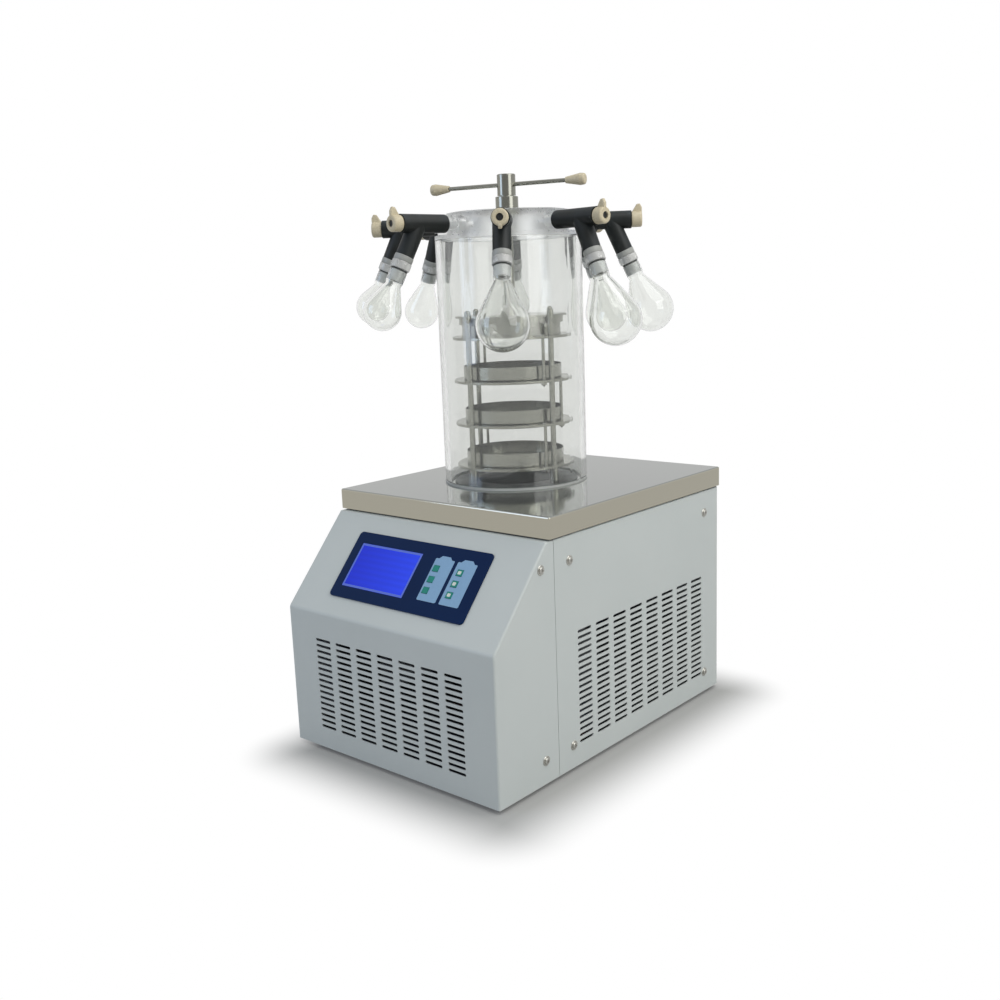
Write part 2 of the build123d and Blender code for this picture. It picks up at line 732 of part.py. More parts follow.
def make_valve():
    body = Pos(0, 0, port_z) * along_x(cylinder(valve_radius, shoulder_reach, valve_reach))
    body = fillet(body.edges().group_by(Axis.X)[0], 1.5)
    body += on_branch(cylinder(valve_radius, 0, branch_length))
    bore = cylinder(nozzle_radius + nozzle_fit, shoulder_reach, nozzle_reach)
    bore += cylinder(valve_passage, nozzle_reach, valve_reach - knob_stem_length)
    bore += cylinder(knob_stem_radius + knob_gap, valve_reach - knob_stem_length - knob_gap, valve_reach)
    body -= Pos(0, 0, port_z) * along_x(bore)
    body -= on_branch(cylinder(valve_passage, 0, branch_length))
    body -= on_branch(cylinder(spigot_radius + nozzle_fit, branch_length - spigot_length - 1, branch_length))
    return body


def make_knob(fin_down, tip_height):
    stem = cylinder(knob_stem_radius, valve_reach - knob_stem_length, valve_reach + knob_gap)
    end = valve_reach + knob_gap + knob_length
    head = cylinder(knob_radius, valve_reach + knob_gap, end)
    head = fillet(head.edges().group_by(Axis.Z)[-1], 3.0)
    head = fillet(head.edges().group_by(Axis.Z)[0], 1.0)
    knob = along_x(stem + head)
    root = valve_reach + knob_gap
    tip = end - fin_setback
    fin_outline = Polyline((root + 0.5, 0), (root + 0.5, knob_radius - 1), (tip - fin_top_width, tip_height - 1),
                           (tip, tip_height), (end, 0.75 * tip_height), (end, 0), close=True)
    fin = extrude(Plane.XZ * make_face(fin_outline), fin_thickness / 2, both=True)
    fin = fillet(fin.edges().filter_by(lambda e: e.center().Z > knob_radius / 2), 1.8)
    knob += fin
    knob -= along_x(cylinder(knob_dimple_radius, end - knob_dimple_depth, end + 1))
    return Pos(0, 0, port_z) * Rot(180 if fin_down else 0, 0, 0) * knob


def make_adaptor():
    """Turned adaptor: spigot in the branch, ring, collar, O-ring groove and the cone in the flask's neck."""
    ring_end = branch_length + adaptor_ring_length
    collar_end = ring_end + collar_length
    groove_end = collar_end + groove_length
    ring = cylinder(adaptor_ring_radius, branch_length, ring_end)
    collar = cylinder(collar_radius, ring_end, collar_end)
    collar = fillet(collar.edges().filter_by(GeomType.CIRCLE), 2.5)
    adaptor = cylinder(spigot_radius, branch_length - spigot_length, branch_length) + ring + collar
    adaptor += cylinder(groove_radius, collar_end, groove_end)
    adaptor += cylinder(neck_radius - glass_wall - cone_gap, groove_end, groove_end + cone_length)
    adaptor -= cylinder(adaptor_bore, branch_length - spigot_length, groove_end + cone_length)
    return on_branch(adaptor)


def flask_body(bulb_radius, bottom, inset):
    """Revolved pear flask; a positive inset gives the space inside the glass."""
    neck_start = branch_length + adaptor_ring_length + collar_length + groove_length
    waist_at = neck_start + neck_length + waist_length
    radius = bulb_radius - inset
    middle = bottom - bulb_radius
    waist = neck_waist - inset
    away = math.hypot(waist, middle - waist_at)
    swing = math.acos(radius / away) + math.atan2(waist, middle - waist_at)
    touch_r = radius * math.sin(swing)
    touch_s = middle - radius * math.cos(swing)
    neck = neck_radius - inset
    start = neck_start - (1 if inset else 0)
    outline = Polyline((0, start), (neck, start), (neck, neck_start + neck_length), (waist, waist_at),
                       (touch_r, touch_s))
    half = math.radians(180 - math.degrees(swing)) / 2
    arc_mid = (radius * math.sin(math.pi - half), middle - radius * math.cos(math.pi - half))
    bulb = ThreePointArc((touch_r, touch_s), arc_mid, (0, middle + radius))
    axis_line = Line((0, middle + radius), (0, start))
    face = make_face(outline + bulb + axis_line)
    return revolve(Plane.XZ * face, Axis.Z)


def make_flask(bulb_radius, bottom):
    glass = flask_body(bulb_radius, bottom, 0) - flask_body(bulb_radius, bottom, glass_wall)
    return on_branch(glass)


# ---------------------------------------------------------------- press: gland, handle, spindle
def make_spindle_gland():
    gland = cylinder(gland_radius, hub_top, gland_top)
    gland = fillet(gland.edges().group_by(Axis.Z)[-1], 0.8)
    gland += cylinder(gland_spigot_radius, hub_top - plenum_roof, hub_top)
    gland -= cylinder(spindle_radius + running_gap, hub_top - plenum_roof, gland_top)
    gland -= cylinder(sleeve_radius + running_gap, gland_top - sleeve_length, gland_top)
    return at_chamber(gland)


def make_handle_hub():
    cap = cylinder(cap_radius, cap_bottom, cap_top)
    cap = fillet(cap.edges().group_by(Axis.Z)[-1], cap_edge)
    cap += cylinder(sleeve_radius, gland_top - sleeve_length + running_gap, cap_bottom)
    cap -= cylinder(spindle_radius + running_gap, gland_top - sleeve_length, bar_z - 2 * bar_radius)
    bar = Pos(0, 0, bar_z) * along_x(cylinder(bar_radius, -bar_half_length, bar_half_length))
    return at_chamber(cap + bar, bar_angle)


def make_bar_grips():
    grips = []
    start = bar_half_length + grip_overrun - grip_length
    for side in (0, 180):
        outline = Polyline((0, start), (grip_inner_radius, start),
                           (grip_outer_radius, start + 0.75 * grip_length),
                           (grip_outer_radius - 0.8, start + grip_length), (0, start + grip_length), close=True)
        grip = revolve(Plane.XZ * make_face(outline), Axis.Z)
        grip = fillet(grip.edges().filter_by(GeomType.CIRCLE).group_by(Axis.Z)[-1], 2.5)
        grip -= cylinder(bar_radius + grip_gap, start, bar_half_length + grip_gap)
        grips.append(at_chamber(Pos(0, 0, bar_z) * along_x(grip), bar_angle + side))
    return Compound(grips)


def make_press_spindle():
    shelf_top = lowest_shelf + shelf_pitch * (shelf_count - 1) + shelf_thickness
    disc_top = shelf_top + foot_disc_height
    rod = cylinder(spindle_radius, shelf_top, bar_z - 3 * bar_radius)
    foot = cylinder(foot_disc_radius, shelf_top, disc_top)
    foot += Pos(0, 0, disc_top) * Cone(foot_disc_radius * 0.8, foot_cone_top, foot_cone_height,
                                       align=(Align.CENTER, Align.CENTER, Align.MIN))
    return at_chamber(rod + foot)


# ---------------------------------------------------------------- rack
def make_rack_base():
    ring = tube(deck_hole_radius - rack_base_gap, rack_base_bore, rack_base_under, rack_base_top)
    return at_chamber(fillet(ring.edges().group_by(Axis.Z)[-1], 0.6))


def make_guide_posts():
    posts = []
    for angle in post_angles:
        post = cylinder(leg_radius, rack_base_top, lowest_shelf)
        post += cylinder(post_radius, lowest_shelf, yoke_under)
        post += cylinder(stud_radius, yoke_under, yoke_top)
        acorn = cylinder(acorn_radius, yoke_top, yoke_top + acorn_height)
        acorn = fillet(acorn.edges().group_by(Axis.Z)[-1], acorn_radius * 0.85)
        posts.append(at_chamber(at_polar(post_circle, angle, post + acorn)))
    return Compound(posts)


def pin_angles(gap):
    """Angles of the two hanger pins below a shelf."""
    first = post_angle + 360.0 / post_count + pin_turn[gap % 2]
    return (first, first + 180.0)


def make_shelf(level):
    """Round shelf; level 0 is the pressed one at the top, the last one stands on the legs."""
    low = lowest_shelf + shelf_pitch * (shelf_count - 1 - level)
    high = low + shelf_thickness
    plate = cylinder(shelf_radius, low, high)
    plate = fillet(plate.edges().group_by(Axis.Z)[-1] + plate.edges().group_by(Axis.Z)[0], 0.5)
    if level == 0:
        plate += tube(press_rim_radius, press_rim_radius - press_rim_wall, high, high + press_rim_height)
    last = level == shelf_count - 1
    post_hole = post_radius + (0.05 if last else slide_gap)
    for angle in post_angles:
        plate -= at_polar(post_circle, angle, cylinder(post_hole, low, high))
    if level > 0:
        for angle in pin_angles(level - 1):
            plate -= at_polar(post_circle, angle, cylinder(pin_radius + slide_gap, low, high))
    if not last:
        for angle in pin_angles(level):
            below = low - shelf_pitch - pin_nut_gap
            hangs = level < shelf_count - 2
            nut_low = below - pin_nut_height
            pin = cylinder(pin_radius, nut_low, low)
            pin += cylinder(pin_head_radius, high, high + pin_head_height)
            if hangs:
                pin += cylinder(pin_head_radius, nut_low, below)
            pin += Pos(0, 0, nut_low - pin_tip_length) * Cone(
                0.4, pin_radius, pin_tip_length, align=(Align.CENTER, Align.CENTER, Align.MIN))
            plate += at_polar(post_circle, angle, pin)
    return at_chamber(plate)


def make_tray(level):
    low = lowest_shelf + shelf_pitch * (shelf_count - 1 - level) + shelf_thickness
    tray = cylinder(tray_radius, low, low + tray_height)
    tray = fillet(tray.edges().group_by(Axis.Z)[0], 2.0)
    hollow = cylinder(tray_radius - tray_wall, low + tray_wall, low + tray_height)
    hollow = fillet(hollow.edges().group_by(Axis.Z)[0], 1.0)
    return at_chamber(tray - hollow)


def make_rack_yoke():
    plate = cylinder(yoke_radius, yoke_under, yoke_top)
    for angle in post_angles:
        plate += at_polar(post_circle, angle, cylinder(yoke_ear_radius, yoke_under, yoke_top))
    plate += tube(yoke_rim_radius, yoke_rim_radius - yoke_rim_wall, yoke_under - yoke_rim_height, yoke_under)
    plate += Pos(0, 0, yoke_top) * Cone(yoke_boss_radius, yoke_boss_top_radius, yoke_boss_height,
                                        align=(Align.CENTER, Align.CENTER, Align.MIN))
    plate -= cylinder(spindle_radius + running_gap, yoke_under, yoke_top + yoke_boss_height)
    for angle in post_angles:
        plate -= at_polar(post_circle, angle, cylinder(stud_radius + 0.05, yoke_under, yoke_top))
    return at_chamber(plate)


# ---------------------------------------------------------------- cooling and electrics
def bent_pipe(points):
    """Copper pipe through the points, with rounded bends."""
    path = FilletPolyline(*points, radius=2.5 * refrigerant_pipe_radius)
    start = Plane(path @ 0, z_dir=path % 0)
    wall = Circle(refrigerant_pipe_radius) - Circle(refrigerant_pipe_radius - refrigerant_pipe_wall)
    return sweep(start * wall, path=path)


def trap_pipe_end(angle):
    """Where a pipe of the cold trap comes out of the foam."""
    turn = math.radians(angle)
    reach = trap_radius - 3 * refrigerant_pipe_radius
    bottom = sheet_under - trap_depth - 2 * trap_wall - jacket_gap - foam_thickness
    return (chamber_x + reach * math.cos(turn), chamber_y + reach * math.sin(turn), bottom)


def condenser_row(row):
    """Height of a row of the condenser's pipes, counted from the lowest."""
    return floor_top + condenser_height / coil_rows * (row + 0.5)


def suction_pipe():
    """From the cold trap down and back to the side of the compressor."""
    trap_end = trap_pipe_end(trap_pipe_angles[0])
    height = floor_top + compressor_stand + compressor_height * 0.75
    return bent_pipe([trap_end, (trap_end[0], trap_end[1], height),
                      (trap_end[0], compressor_y - 0.93 * compressor_radius, height)])


def discharge_pipe():
    """From the compressor round the rear end of the condenser."""
    middle_x = sum(condenser_span()) / 2
    height = condenser_row(coil_rows - 3)
    cross_y = compressor_y + 0.6 * compressor_radius
    return bent_pipe([(compressor_x + 0.7 * compressor_radius, cross_y, height), (middle_x, cross_y, height),
                      (middle_x, condenser_y + condenser_width / 2, height)])


def liquid_pipe():
    """From the lowest row of the condenser across the floor and up to the cold trap."""
    middle_x = sum(condenser_span()) / 2
    near_end = condenser_y - condenser_width / 2
    aside = near_end - 5 * refrigerant_pipe_radius
    trap_end = trap_pipe_end(trap_pipe_angles[1])
    low = condenser_row(0)
    return bent_pipe([(middle_x, near_end, low), (middle_x, aside, low), (trap_end[0], aside, low),
                      (trap_end[0], trap_end[1], low), trap_end])


def make_compressor():
    low = floor_top + compressor_stand
    can = cylinder(compressor_radius, low, low + compressor_height)
    can = fillet(can.edges().filter_by(GeomType.CIRCLE), compressor_radius * 0.4)
    belt = cylinder(compressor_radius + 2, low + compressor_height * 0.55, low + compressor_height * 0.55 + 6)
    plate = Pos(0, 0, low - 1) * Box(compressor_plate, compressor_plate, 3,
                                     align=(Align.CENTER, Align.CENTER, Align.MIN))
    unit = can + belt + plate + cylinder(compressor_radius * 0.7, low, low + 8)
    for side_x in (-1, 1):
        for side_y in (-1, 1):
            grommet = cylinder(9.0, floor_top, low)
            unit += Pos(side_x * (compressor_plate / 2 - 12), side_y * (compressor_plate / 2 - 12), 0) * grommet
    box_low = low + compressor_height * 0.25
    unit += Pos(0, -compressor_radius, box_low) * Box(46, 34, 52, align=(Align.CENTER, Align.CENTER, Align.MIN))
    return Pos(compressor_x, compressor_y, 0) * unit + suction_pipe() + discharge_pipe()


def condenser_span():
    high = half_width - sheet - condenser_clearance
    return high - condenser_thickness, high


def make_condenser():
    low_x, high_x = condenser_span()
    low_y = condenser_y - condenser_width / 2
    low_z = floor_top
    fins = int(condenser_width / fin_pitch)
    core = box((low_x, low_y, low_z), (high_x, low_y + 2 * fin_sheet, low_z + condenser_height))
    core += box((low_x, low_y + condenser_width - 2 * fin_sheet, low_z),
                (high_x, low_y + condenser_width, low_z + condenser_height))
    middle_x = (low_x + high_x) / 2
    for row in range(coil_rows):
        pipe = along_y(cylinder(coil_radius, low_y, low_y + condenser_width))
        core += Pos(middle_x, 0, condenser_row(row)) * pipe
    step = condenser_width / fins
    plates = [box((low_x, low_y + step * (index + 1) - fin_sheet / 2, low_z + 2),
                  (high_x, low_y + step * (index + 1) + fin_sheet / 2, low_z + condenser_height - 2))
              for index in range(fins - 1)]
    return Compound([core.fuse(*plates).solid(), liquid_pipe()])


def make_fan_shroud():
    """Sheet frame with the air ring, three struts and the motor."""
    plate_x = condenser_span()[0]
    middle_z = floor_top + condenser_height / 2
    opening = fan_radius + fan_tip_gap
    plate = box((plate_x - sheet, condenser_y - condenser_width / 2, floor_top),
                (plate_x, condenser_y + condenser_width / 2, floor_top + condenser_height))
    axis = Pos(plate_x, condenser_y, middle_z) * Rot(0, -90, 0)
    plate -= axis * cylinder(opening, -1, 2 * sheet)
    plate += axis * tube(opening + sheet, opening, 0, shroud_depth)
    motor_low = shroud_depth + 2
    motor = cylinder(motor_radius, motor_low, motor_low + motor_length)
    motor = fillet(motor.edges().group_by(Axis.Z)[-1], 3.0)
    motor += cylinder(motor_shaft_radius, 6, motor_low)
    struts = Part() + [Rot(0, 0, angle) * box((motor_radius - 5, -6, motor_low), (opening + sheet, 6, motor_low + 3))
                       for angle in (30, 150, 270)]
    feet = Part() + [Rot(0, 0, angle) * box((opening, -6, shroud_depth - 8), (opening + sheet, 6, motor_low + 3))
                     for angle in (30, 150, 270)]
    return plate + axis * (motor + struts + feet)


def make_fan_rotor():
    plate_x = condenser_span()[0]
    middle_z = floor_top + condenser_height / 2
    axis = Pos(plate_x, condenser_y, middle_z) * Rot(0, -90, 0)
    low = 4.0
    ring = cylinder(fan_radius, low, low + fan_depth)
    blades = Part()
    for index in range(fan_blades):
        blade = Rot(fan_pitch, 0, 0) * Box(fan_radius, blade_sheet, 2 * fan_depth,
                                           align=(Align.MIN, Align.CENTER, Align.CENTER))
        blade = Rot(0, 0, 360.0 / fan_blades * index) * Pos(0, 0, low + fan_depth / 2) * Rot(0, 0, 0) * blade
        blades += blade
    blades &= ring
    rotor = blades + cylinder(fan_hub_radius, low, low + fan_depth)
    rotor -= cylinder(motor_shaft_radius + 0.08, low, low + fan_depth)
    return axis * rotor


def make_power_inlet():
    """Appliance inlet with its three blades and the well of the rocker switch, on the rear panel."""
    flange = Box(inlet_flange_width, inlet_flange_thickness, inlet_flange_height,
                 align=(Align.CENTER, Align.MIN, Align.CENTER))
    flange = fillet(flange.edges().filter_by(Axis.Y), 2.0)
    body = Box(inlet_flange_width - 2 * inlet_body_inset, inlet_body_depth,
               inlet_flange_height - 2 * inlet_body_inset, align=(Align.CENTER, Align.MAX, Align.CENTER))
    inlet = flange + body
    top = inlet_flange_thickness
    inlet -= Pos(0, top, -socket_drop) * Box(socket_width, socket_depth, socket_height,
                                             align=(Align.CENTER, Align.MAX, Align.CENTER))
    for column in (-1, 0, 1):
        blade = Box(blade_thickness, blade_length, blade_width, align=(Align.CENTER, Align.MIN, Align.CENTER))
        lift = blade_width / 2 if column == 0 else -blade_width / 4
        inlet += Pos(column * blade_spacing, top - socket_depth, -socket_drop + lift) * blade
    inlet -= Pos(0, top, rocker_rise) * Box(rocker_width + 2 * rocker_gap, 2 * rocker_thickness,
                                            rocker_height + 2 * rocker_gap,
                                            align=(Align.CENTER, Align.MAX, Align.CENTER))
    return Pos(inlet_x, rear_y, base_z + inlet_height) * inlet


def make_power_rocker():
    rocker = Box(rocker_width, rocker_thickness, rocker_height)
    rocker = fillet(rocker.edges().filter_by(Axis.X), 1.5)
    pivot = inlet_flange_thickness - rocker_thickness / 2 + 1
    rocker = Pos(0, 0, 0) * Rot(-rocker_tilt, 0, 0) * rocker
    return Pos(inlet_x, rear_y + pivot, base_z + inlet_height + rocker_rise) * rocker


# ---------------------------------------------------------------- write the nodes
def main():
    os.makedirs("parts", exist_ok=True)
    save("chassis", make_chassis())
    save("feet", make_feet())
    save("front_cover", make_front_cover())
    save("right_side_panel", make_side_panel(1))
    save("left_side_panel", make_side_panel(-1))
    save("rear_panel", make_rear_panel())
    save("top_deck", make_top_deck())
    save("cover_screws", make_cover_screws())
    save("control_panel", make_control_panel())
    save("display_module", make_display())
    for number, (x, up) in enumerate(key_places(), start=1):
        save(f"key_{number}", make_key(x, up))
    save("cold_trap", make_cold_trap())
    save("trap_insulation", make_trap_insulation())
    save("vacuum_port", make_vacuum_port())
    save("base_gasket", make_base_gasket())
    save("chamber_tube", make_chamber_tube())
    save("manifold_head", make_manifold_head())
    save("spindle_gland", make_spindle_gland())
    save("handle_hub", make_handle_hub())
    save("bar_grips", make_bar_grips())
    save("press_spindle", make_press_spindle())
    save("rack_base", make_rack_base())
    save("guide_posts", make_guide_posts())
    save("rack_yoke", make_rack_yoke())
    for level in range(shelf_count):
        save(f"shelf_{level + 1}", make_shelf(level))
    for level in range(1, shelf_count):
        save(f"tray_{level + 1}", make_tray(level))
    valve = make_valve()
    adaptor = make_adaptor()
    valves = [at_port(port, valve, valve_swings[port]) for port in range(port_count)]
    adaptors = [at_port(port, adaptor, valve_swings[port]) for port in range(port_count)]
    save("port_valves", Compound(valves))
    save("flask_adaptors", Compound(adaptors))
    for port in range(port_count):
        knob = make_knob(port == 0, fin_tip_heights[port])
        save(f"valve_knob_{port + 1}", at_port(port, knob))
        flask = make_flask(flask_bulb_radii[port], flask_reaches[port])
        save(f"flask_{port + 1}", at_port(port, flask, valve_swings[port]))
    save("compressor", make_compressor())
    save("condenser", make_condenser())
    save("fan_shroud", make_fan_shroud())
    save("fan_rotor", make_fan_rotor())
    save("power_inlet", make_power_inlet())
    save("power_rocker", make_power_rocker())


main()
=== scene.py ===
# %% [markdown]
# # A tabletop freeze dryer
#
# The machine is a sheet metal cabinet with a stainless deck.  A clear acrylic chamber stands on the deck,
# with a shelf rack inside and a ring of rubber valves and glass flasks round its head.  The exact parts come
# from a CAD model, which stays as it is.  These cells give each part its finish, add what CAD leaves plain,
# and light it all.

# %% Load the CAD frame
import bpy
import json
import math
from mathutils import Matrix, Vector


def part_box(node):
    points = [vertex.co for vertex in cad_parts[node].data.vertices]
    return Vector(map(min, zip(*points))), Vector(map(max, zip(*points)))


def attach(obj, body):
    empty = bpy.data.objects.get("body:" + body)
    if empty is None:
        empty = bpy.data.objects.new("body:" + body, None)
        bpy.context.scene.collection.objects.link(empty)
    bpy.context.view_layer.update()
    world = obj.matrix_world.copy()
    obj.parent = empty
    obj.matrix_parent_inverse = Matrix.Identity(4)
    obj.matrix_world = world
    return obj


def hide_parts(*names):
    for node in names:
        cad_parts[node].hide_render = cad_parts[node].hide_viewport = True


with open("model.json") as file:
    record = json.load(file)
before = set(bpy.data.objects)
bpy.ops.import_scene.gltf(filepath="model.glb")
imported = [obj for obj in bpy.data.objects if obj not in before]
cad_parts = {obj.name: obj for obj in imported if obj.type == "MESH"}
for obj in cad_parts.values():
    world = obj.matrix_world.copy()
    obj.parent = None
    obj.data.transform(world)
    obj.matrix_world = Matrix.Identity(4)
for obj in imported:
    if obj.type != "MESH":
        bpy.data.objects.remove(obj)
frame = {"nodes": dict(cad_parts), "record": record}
nodes = frame["nodes"]
joints = {joint["name"]: joint for joint in frame["record"]["behaviour"]["joints"]}
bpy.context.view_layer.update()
bpy.ops.object.select_all(action="DESELECT")

# %% [markdown]
# ## Colours and shader nodes
#
# Paint makers and printers give colours as sRGB hex values, but a shader works in linear light, so one
# function turns one into the other.  Materials are built from nodes, and a second function adds a node, sets
# its options and joins its inputs in one call.  That keeps each material short enough to read from top to
# bottom.

# %% Colour and node helpers
MM = 0.001


def linear(code, alpha=1.0):
    """sRGB hex such as '#A0AFB2' to linear RGBA."""
    channels = [int(code[i:i + 2], 16) / 255 for i in (1, 3, 5)]
    return [c / 12.92 if c <= 0.04045 else ((c + 0.055) / 1.055) ** 2.4 for c in channels] + [alpha]


def add_node(tree, kind, inputs=None, **settings):
    """Adds a shader node; an input is a value or another node's output socket."""
    made = tree.nodes.new(kind)
    for name, value in settings.items():
        setattr(made, name, value)
    for name, value in (inputs or {}).items():
        if isinstance(value, bpy.types.NodeSocket):
            tree.links.new(value, made.inputs[name])
        else:
            made.inputs[name].default_value = value
    return made


def new_material(name, **values):
    """A material whose Principled shader has the given plain values; names use _ for a space."""
    material = bpy.data.materials.new(name)
    material.use_nodes = True
    tree = material.node_tree
    shader = tree.nodes["Principled BSDF"]
    for key, value in values.items():
        shader.inputs[key.replace("_", " ")].default_value = value
    place = add_node(tree, "ShaderNodeTexCoord").outputs["Object"]
    return material, tree, shader, place


def per_metre(size_mm):
    """Noise scale that gives features about this many millimetres apart."""
    return 1.0 / (size_mm * MM)


def finish_nodes(material, *names):
    """Puts one material on CAD nodes."""
    for name in names:
        data = nodes[name].data
        data.materials.clear()
        data.materials.append(material)


# %% [markdown]
# ## Camera
#
# The machine is seen from its front right corner, a little above the deck.  A lens of about 39 mm on a
# full-frame sensor, 1.7 m away, keeps the verticals nearly parallel and still shows the cabinet running back.
# The camera is turned by a matrix, because its small roll can't be given by a target point.

# %% Place the camera
camera_data = bpy.data.cameras.new("camera")
camera_data.sensor_width = 36.0
camera_data.lens = 39.155
camera_data.clip_start = 0.05
camera = bpy.data.objects.new("camera", camera_data)
bpy.context.scene.collection.objects.link(camera)
bpy.context.scene.camera = camera
right = Vector((0.7603, 0.6485, -0.0370))
up = Vector((-0.0992, 0.1722, 0.9801))
back = Vector((0.6419, -0.7415, 0.1953))
turn = Matrix((right, up, back)).transposed()
camera_place = (1.0543, -1.2416, 0.669)
camera.matrix_world = Matrix.Translation(camera_place) @ turn.to_4x4()
machine_middle = (0, 0, 0.4)
print("camera is", round(math.dist(camera_place, machine_middle), 3), "m from the middle of the machine")

# %% [markdown]
# ## Floor, world and lamps
#
# Products are shown on a white sweep.  The world is white to the camera, and mirrors see a grey studio that
# is darker on the camera's side.  The light it gives is a soft grey, so paint keeps its colour.  The floor is
# self-lit away from the machine, so that it fades into the white behind it.  Near the cabinet's foot the glow
# is taken away, a painted shadow round the foot on top of the lamps' real shadow.  Large area lamps are
# softboxes.

# %% Floor and world
def seen_directly(tree):
    """1 for camera, mirror and glass rays, 0 for the light that a surface scatters."""
    path = add_node(tree, "ShaderNodeLightPath").outputs
    first = add_node(tree, "ShaderNodeMath", {0: path["Is Camera Ray"], 1: path["Is Glossy Ray"]},
                     operation="MAXIMUM")
    both = add_node(tree, "ShaderNodeMath", {0: first.outputs[0], 1: path["Is Transmission Ray"]},
                    operation="MAXIMUM")
    return both.outputs[0]


def mirrored(tree):
    """1 for rays off a mirror; rays through frosted glass count as glossy too, so they are taken out."""
    path = add_node(tree, "ShaderNodeLightPath").outputs
    return add_node(tree, "ShaderNodeMath", {0: path["Is Glossy Ray"], 1: path["Is Transmission Ray"]},
                    operation="SUBTRACT", use_clamp=True).outputs[0]


world = bpy.data.worlds.new("studio")
bpy.context.scene.world = world
world.use_nodes = True
sky = world.node_tree
sky.nodes.clear()
heading = add_node(sky, "ShaderNodeTexCoord").outputs["Generated"]
camera_side = Vector((0.62, -0.78, 0.0)).normalized()
towards = add_node(sky, "ShaderNodeVectorMath", {0: heading, 1: camera_side},
                   operation="DOT_PRODUCT").outputs["Value"]
studio_grey, camera_grey, floor_grey = 0.72, 0.38, 0.62         # what mirrors see
dim = add_node(sky, "ShaderNodeMapRange", {0: towards, 1: 0.1, 2: 0.85, 3: studio_grey, 4: camera_grey},
               interpolation_type="SMOOTHSTEP")
level = add_node(sky, "ShaderNodeMix", {0: mirrored(sky), 2: 1.0, 3: dim.outputs[0]}, data_type="FLOAT")
soft = add_node(sky, "ShaderNodeBackground", {"Color": linear("#F4F6F8"), "Strength": 0.55})
white = add_node(sky, "ShaderNodeBackground", {"Color": (1, 1, 1, 1), "Strength": level.outputs[0]})
sky_mix = add_node(sky, "ShaderNodeMixShader", {0: seen_directly(sky), 1: soft.outputs[0],
                                                2: white.outputs[0]})
add_node(sky, "ShaderNodeOutputWorld", {"Surface": sky_mix.outputs[0]})

bpy.ops.mesh.primitive_plane_add(size=40.0, location=(0, 0, 0))
floor = bpy.context.object
floor.name = "floor"
paper = bpy.data.materials.new("white_paper_sweep")
paper.use_nodes = True
sweep = paper.node_tree
sweep.nodes.clear()
spot = add_node(sweep, "ShaderNodeTexCoord").outputs["Object"]
# Painted shadow: near a footprint of the cabinet, moved towards the camera, the floor loses its glow and
# darkens beyond the lamps' real shadow.
low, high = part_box("chassis")
painted_shadow_inset = 0.012                    # the shadow's core is narrower than the cabinet
half_foot = ((high[0] - low[0]) / 2 - painted_shadow_inset, (high[1] - low[1]) / 2, 1.0)
painted_shadow_shift = (0.030, -0.014, 0.0)     # painted shadow: its footprint is moved towards the camera, so it reaches further in front
painted_shadow_core, painted_shadow_reach = -0.02, 0.115
moved = add_node(sweep, "ShaderNodeVectorMath", {0: spot, 1: painted_shadow_shift}, operation="SUBTRACT")
apart = add_node(sweep, "ShaderNodeVectorMath", {0: moved.outputs[0]}, operation="ABSOLUTE")
outside = add_node(sweep, "ShaderNodeVectorMath", {0: apart.outputs[0], 1: half_foot}, operation="SUBTRACT")
clear_of = add_node(sweep, "ShaderNodeVectorMath", {0: outside.outputs[0], 1: (0, 0, 0)}, operation="MAXIMUM")
away = add_node(sweep, "ShaderNodeVectorMath", {0: clear_of.outputs[0]}, operation="LENGTH").outputs["Value"]
faded = add_node(sweep, "ShaderNodeMapRange", {0: away, 1: painted_shadow_core, 2: painted_shadow_reach, 3: 0.0, 4: 1.0},
                 interpolation_type="SMOOTHSTEP")
plain = add_node(sweep, "ShaderNodeBsdfDiffuse", {"Color": (0.55, 0.55, 0.55, 1)})
shade = add_node(sweep, "ShaderNodeBsdfDiffuse", {"Color": (0.40, 0.40, 0.385, 1)})
level = add_node(sweep, "ShaderNodeMix", {0: mirrored(sweep), 2: 1.0, 3: floor_grey}, data_type="FLOAT")
blank = add_node(sweep, "ShaderNodeEmission", {"Color": (1, 1, 1, 1), "Strength": level.outputs[0]})
near = add_node(sweep, "ShaderNodeMixShader", {0: faded.outputs[0], 1: shade.outputs[0], 2: blank.outputs[0]})
paper_mix = add_node(sweep, "ShaderNodeMixShader", {0: seen_directly(sweep), 1: plain.outputs[0],
                                                    2: near.outputs[0]})
add_node(sweep, "ShaderNodeOutputMaterial", {"Surface": paper_mix.outputs[0]})
floor.data.materials.append(paper)


def softbox(name, place, target, width, height, power, colour="#FFFFFF"):
    """Rectangular area lamp at a place, aimed at a target."""
    data = bpy.data.lights.new(name, "AREA")
    data.shape = "RECTANGLE"
    data.size, data.size_y = width, height
    data.energy = power
    data.color = linear(colour)[:3]
    lamp = bpy.data.objects.new(name, data)
    bpy.context.scene.collection.objects.link(lamp)
    lamp.location = place
    lamp.rotation_euler = (Vector(target) - Vector(place)).to_track_quat("-Z", "Y").to_euler()
    return lamp


softbox("overhead_softbox", (1.1, 0.1, 2.1), (0, 0, 0.3), 1.8, 1.8, 19.5)
softbox("right_softbox", (2.6, -0.2, 1.3), (0.1, 0, 0.4), 1.6, 1.8, 18.5)
softbox("left_softbox", (-1.4, -2.4, 1.2), (0, 0, 0.35), 1.2, 1.8, 14.5, "#C6DCFF")
bpy.context.scene.view_settings.view_transform = "Standard"

# %% [markdown]
# ## Sheet metal
#
# The covers are steel sheet, folded and powder coated.  Powder coat melts into a slightly wavy skin, called
# orange peel, so its gloss is soft.  The deck is stainless steel, finely brushed along its length: metal has
# no colour of its own below the reflection, so the brushing is drawn in its roughness and bump.

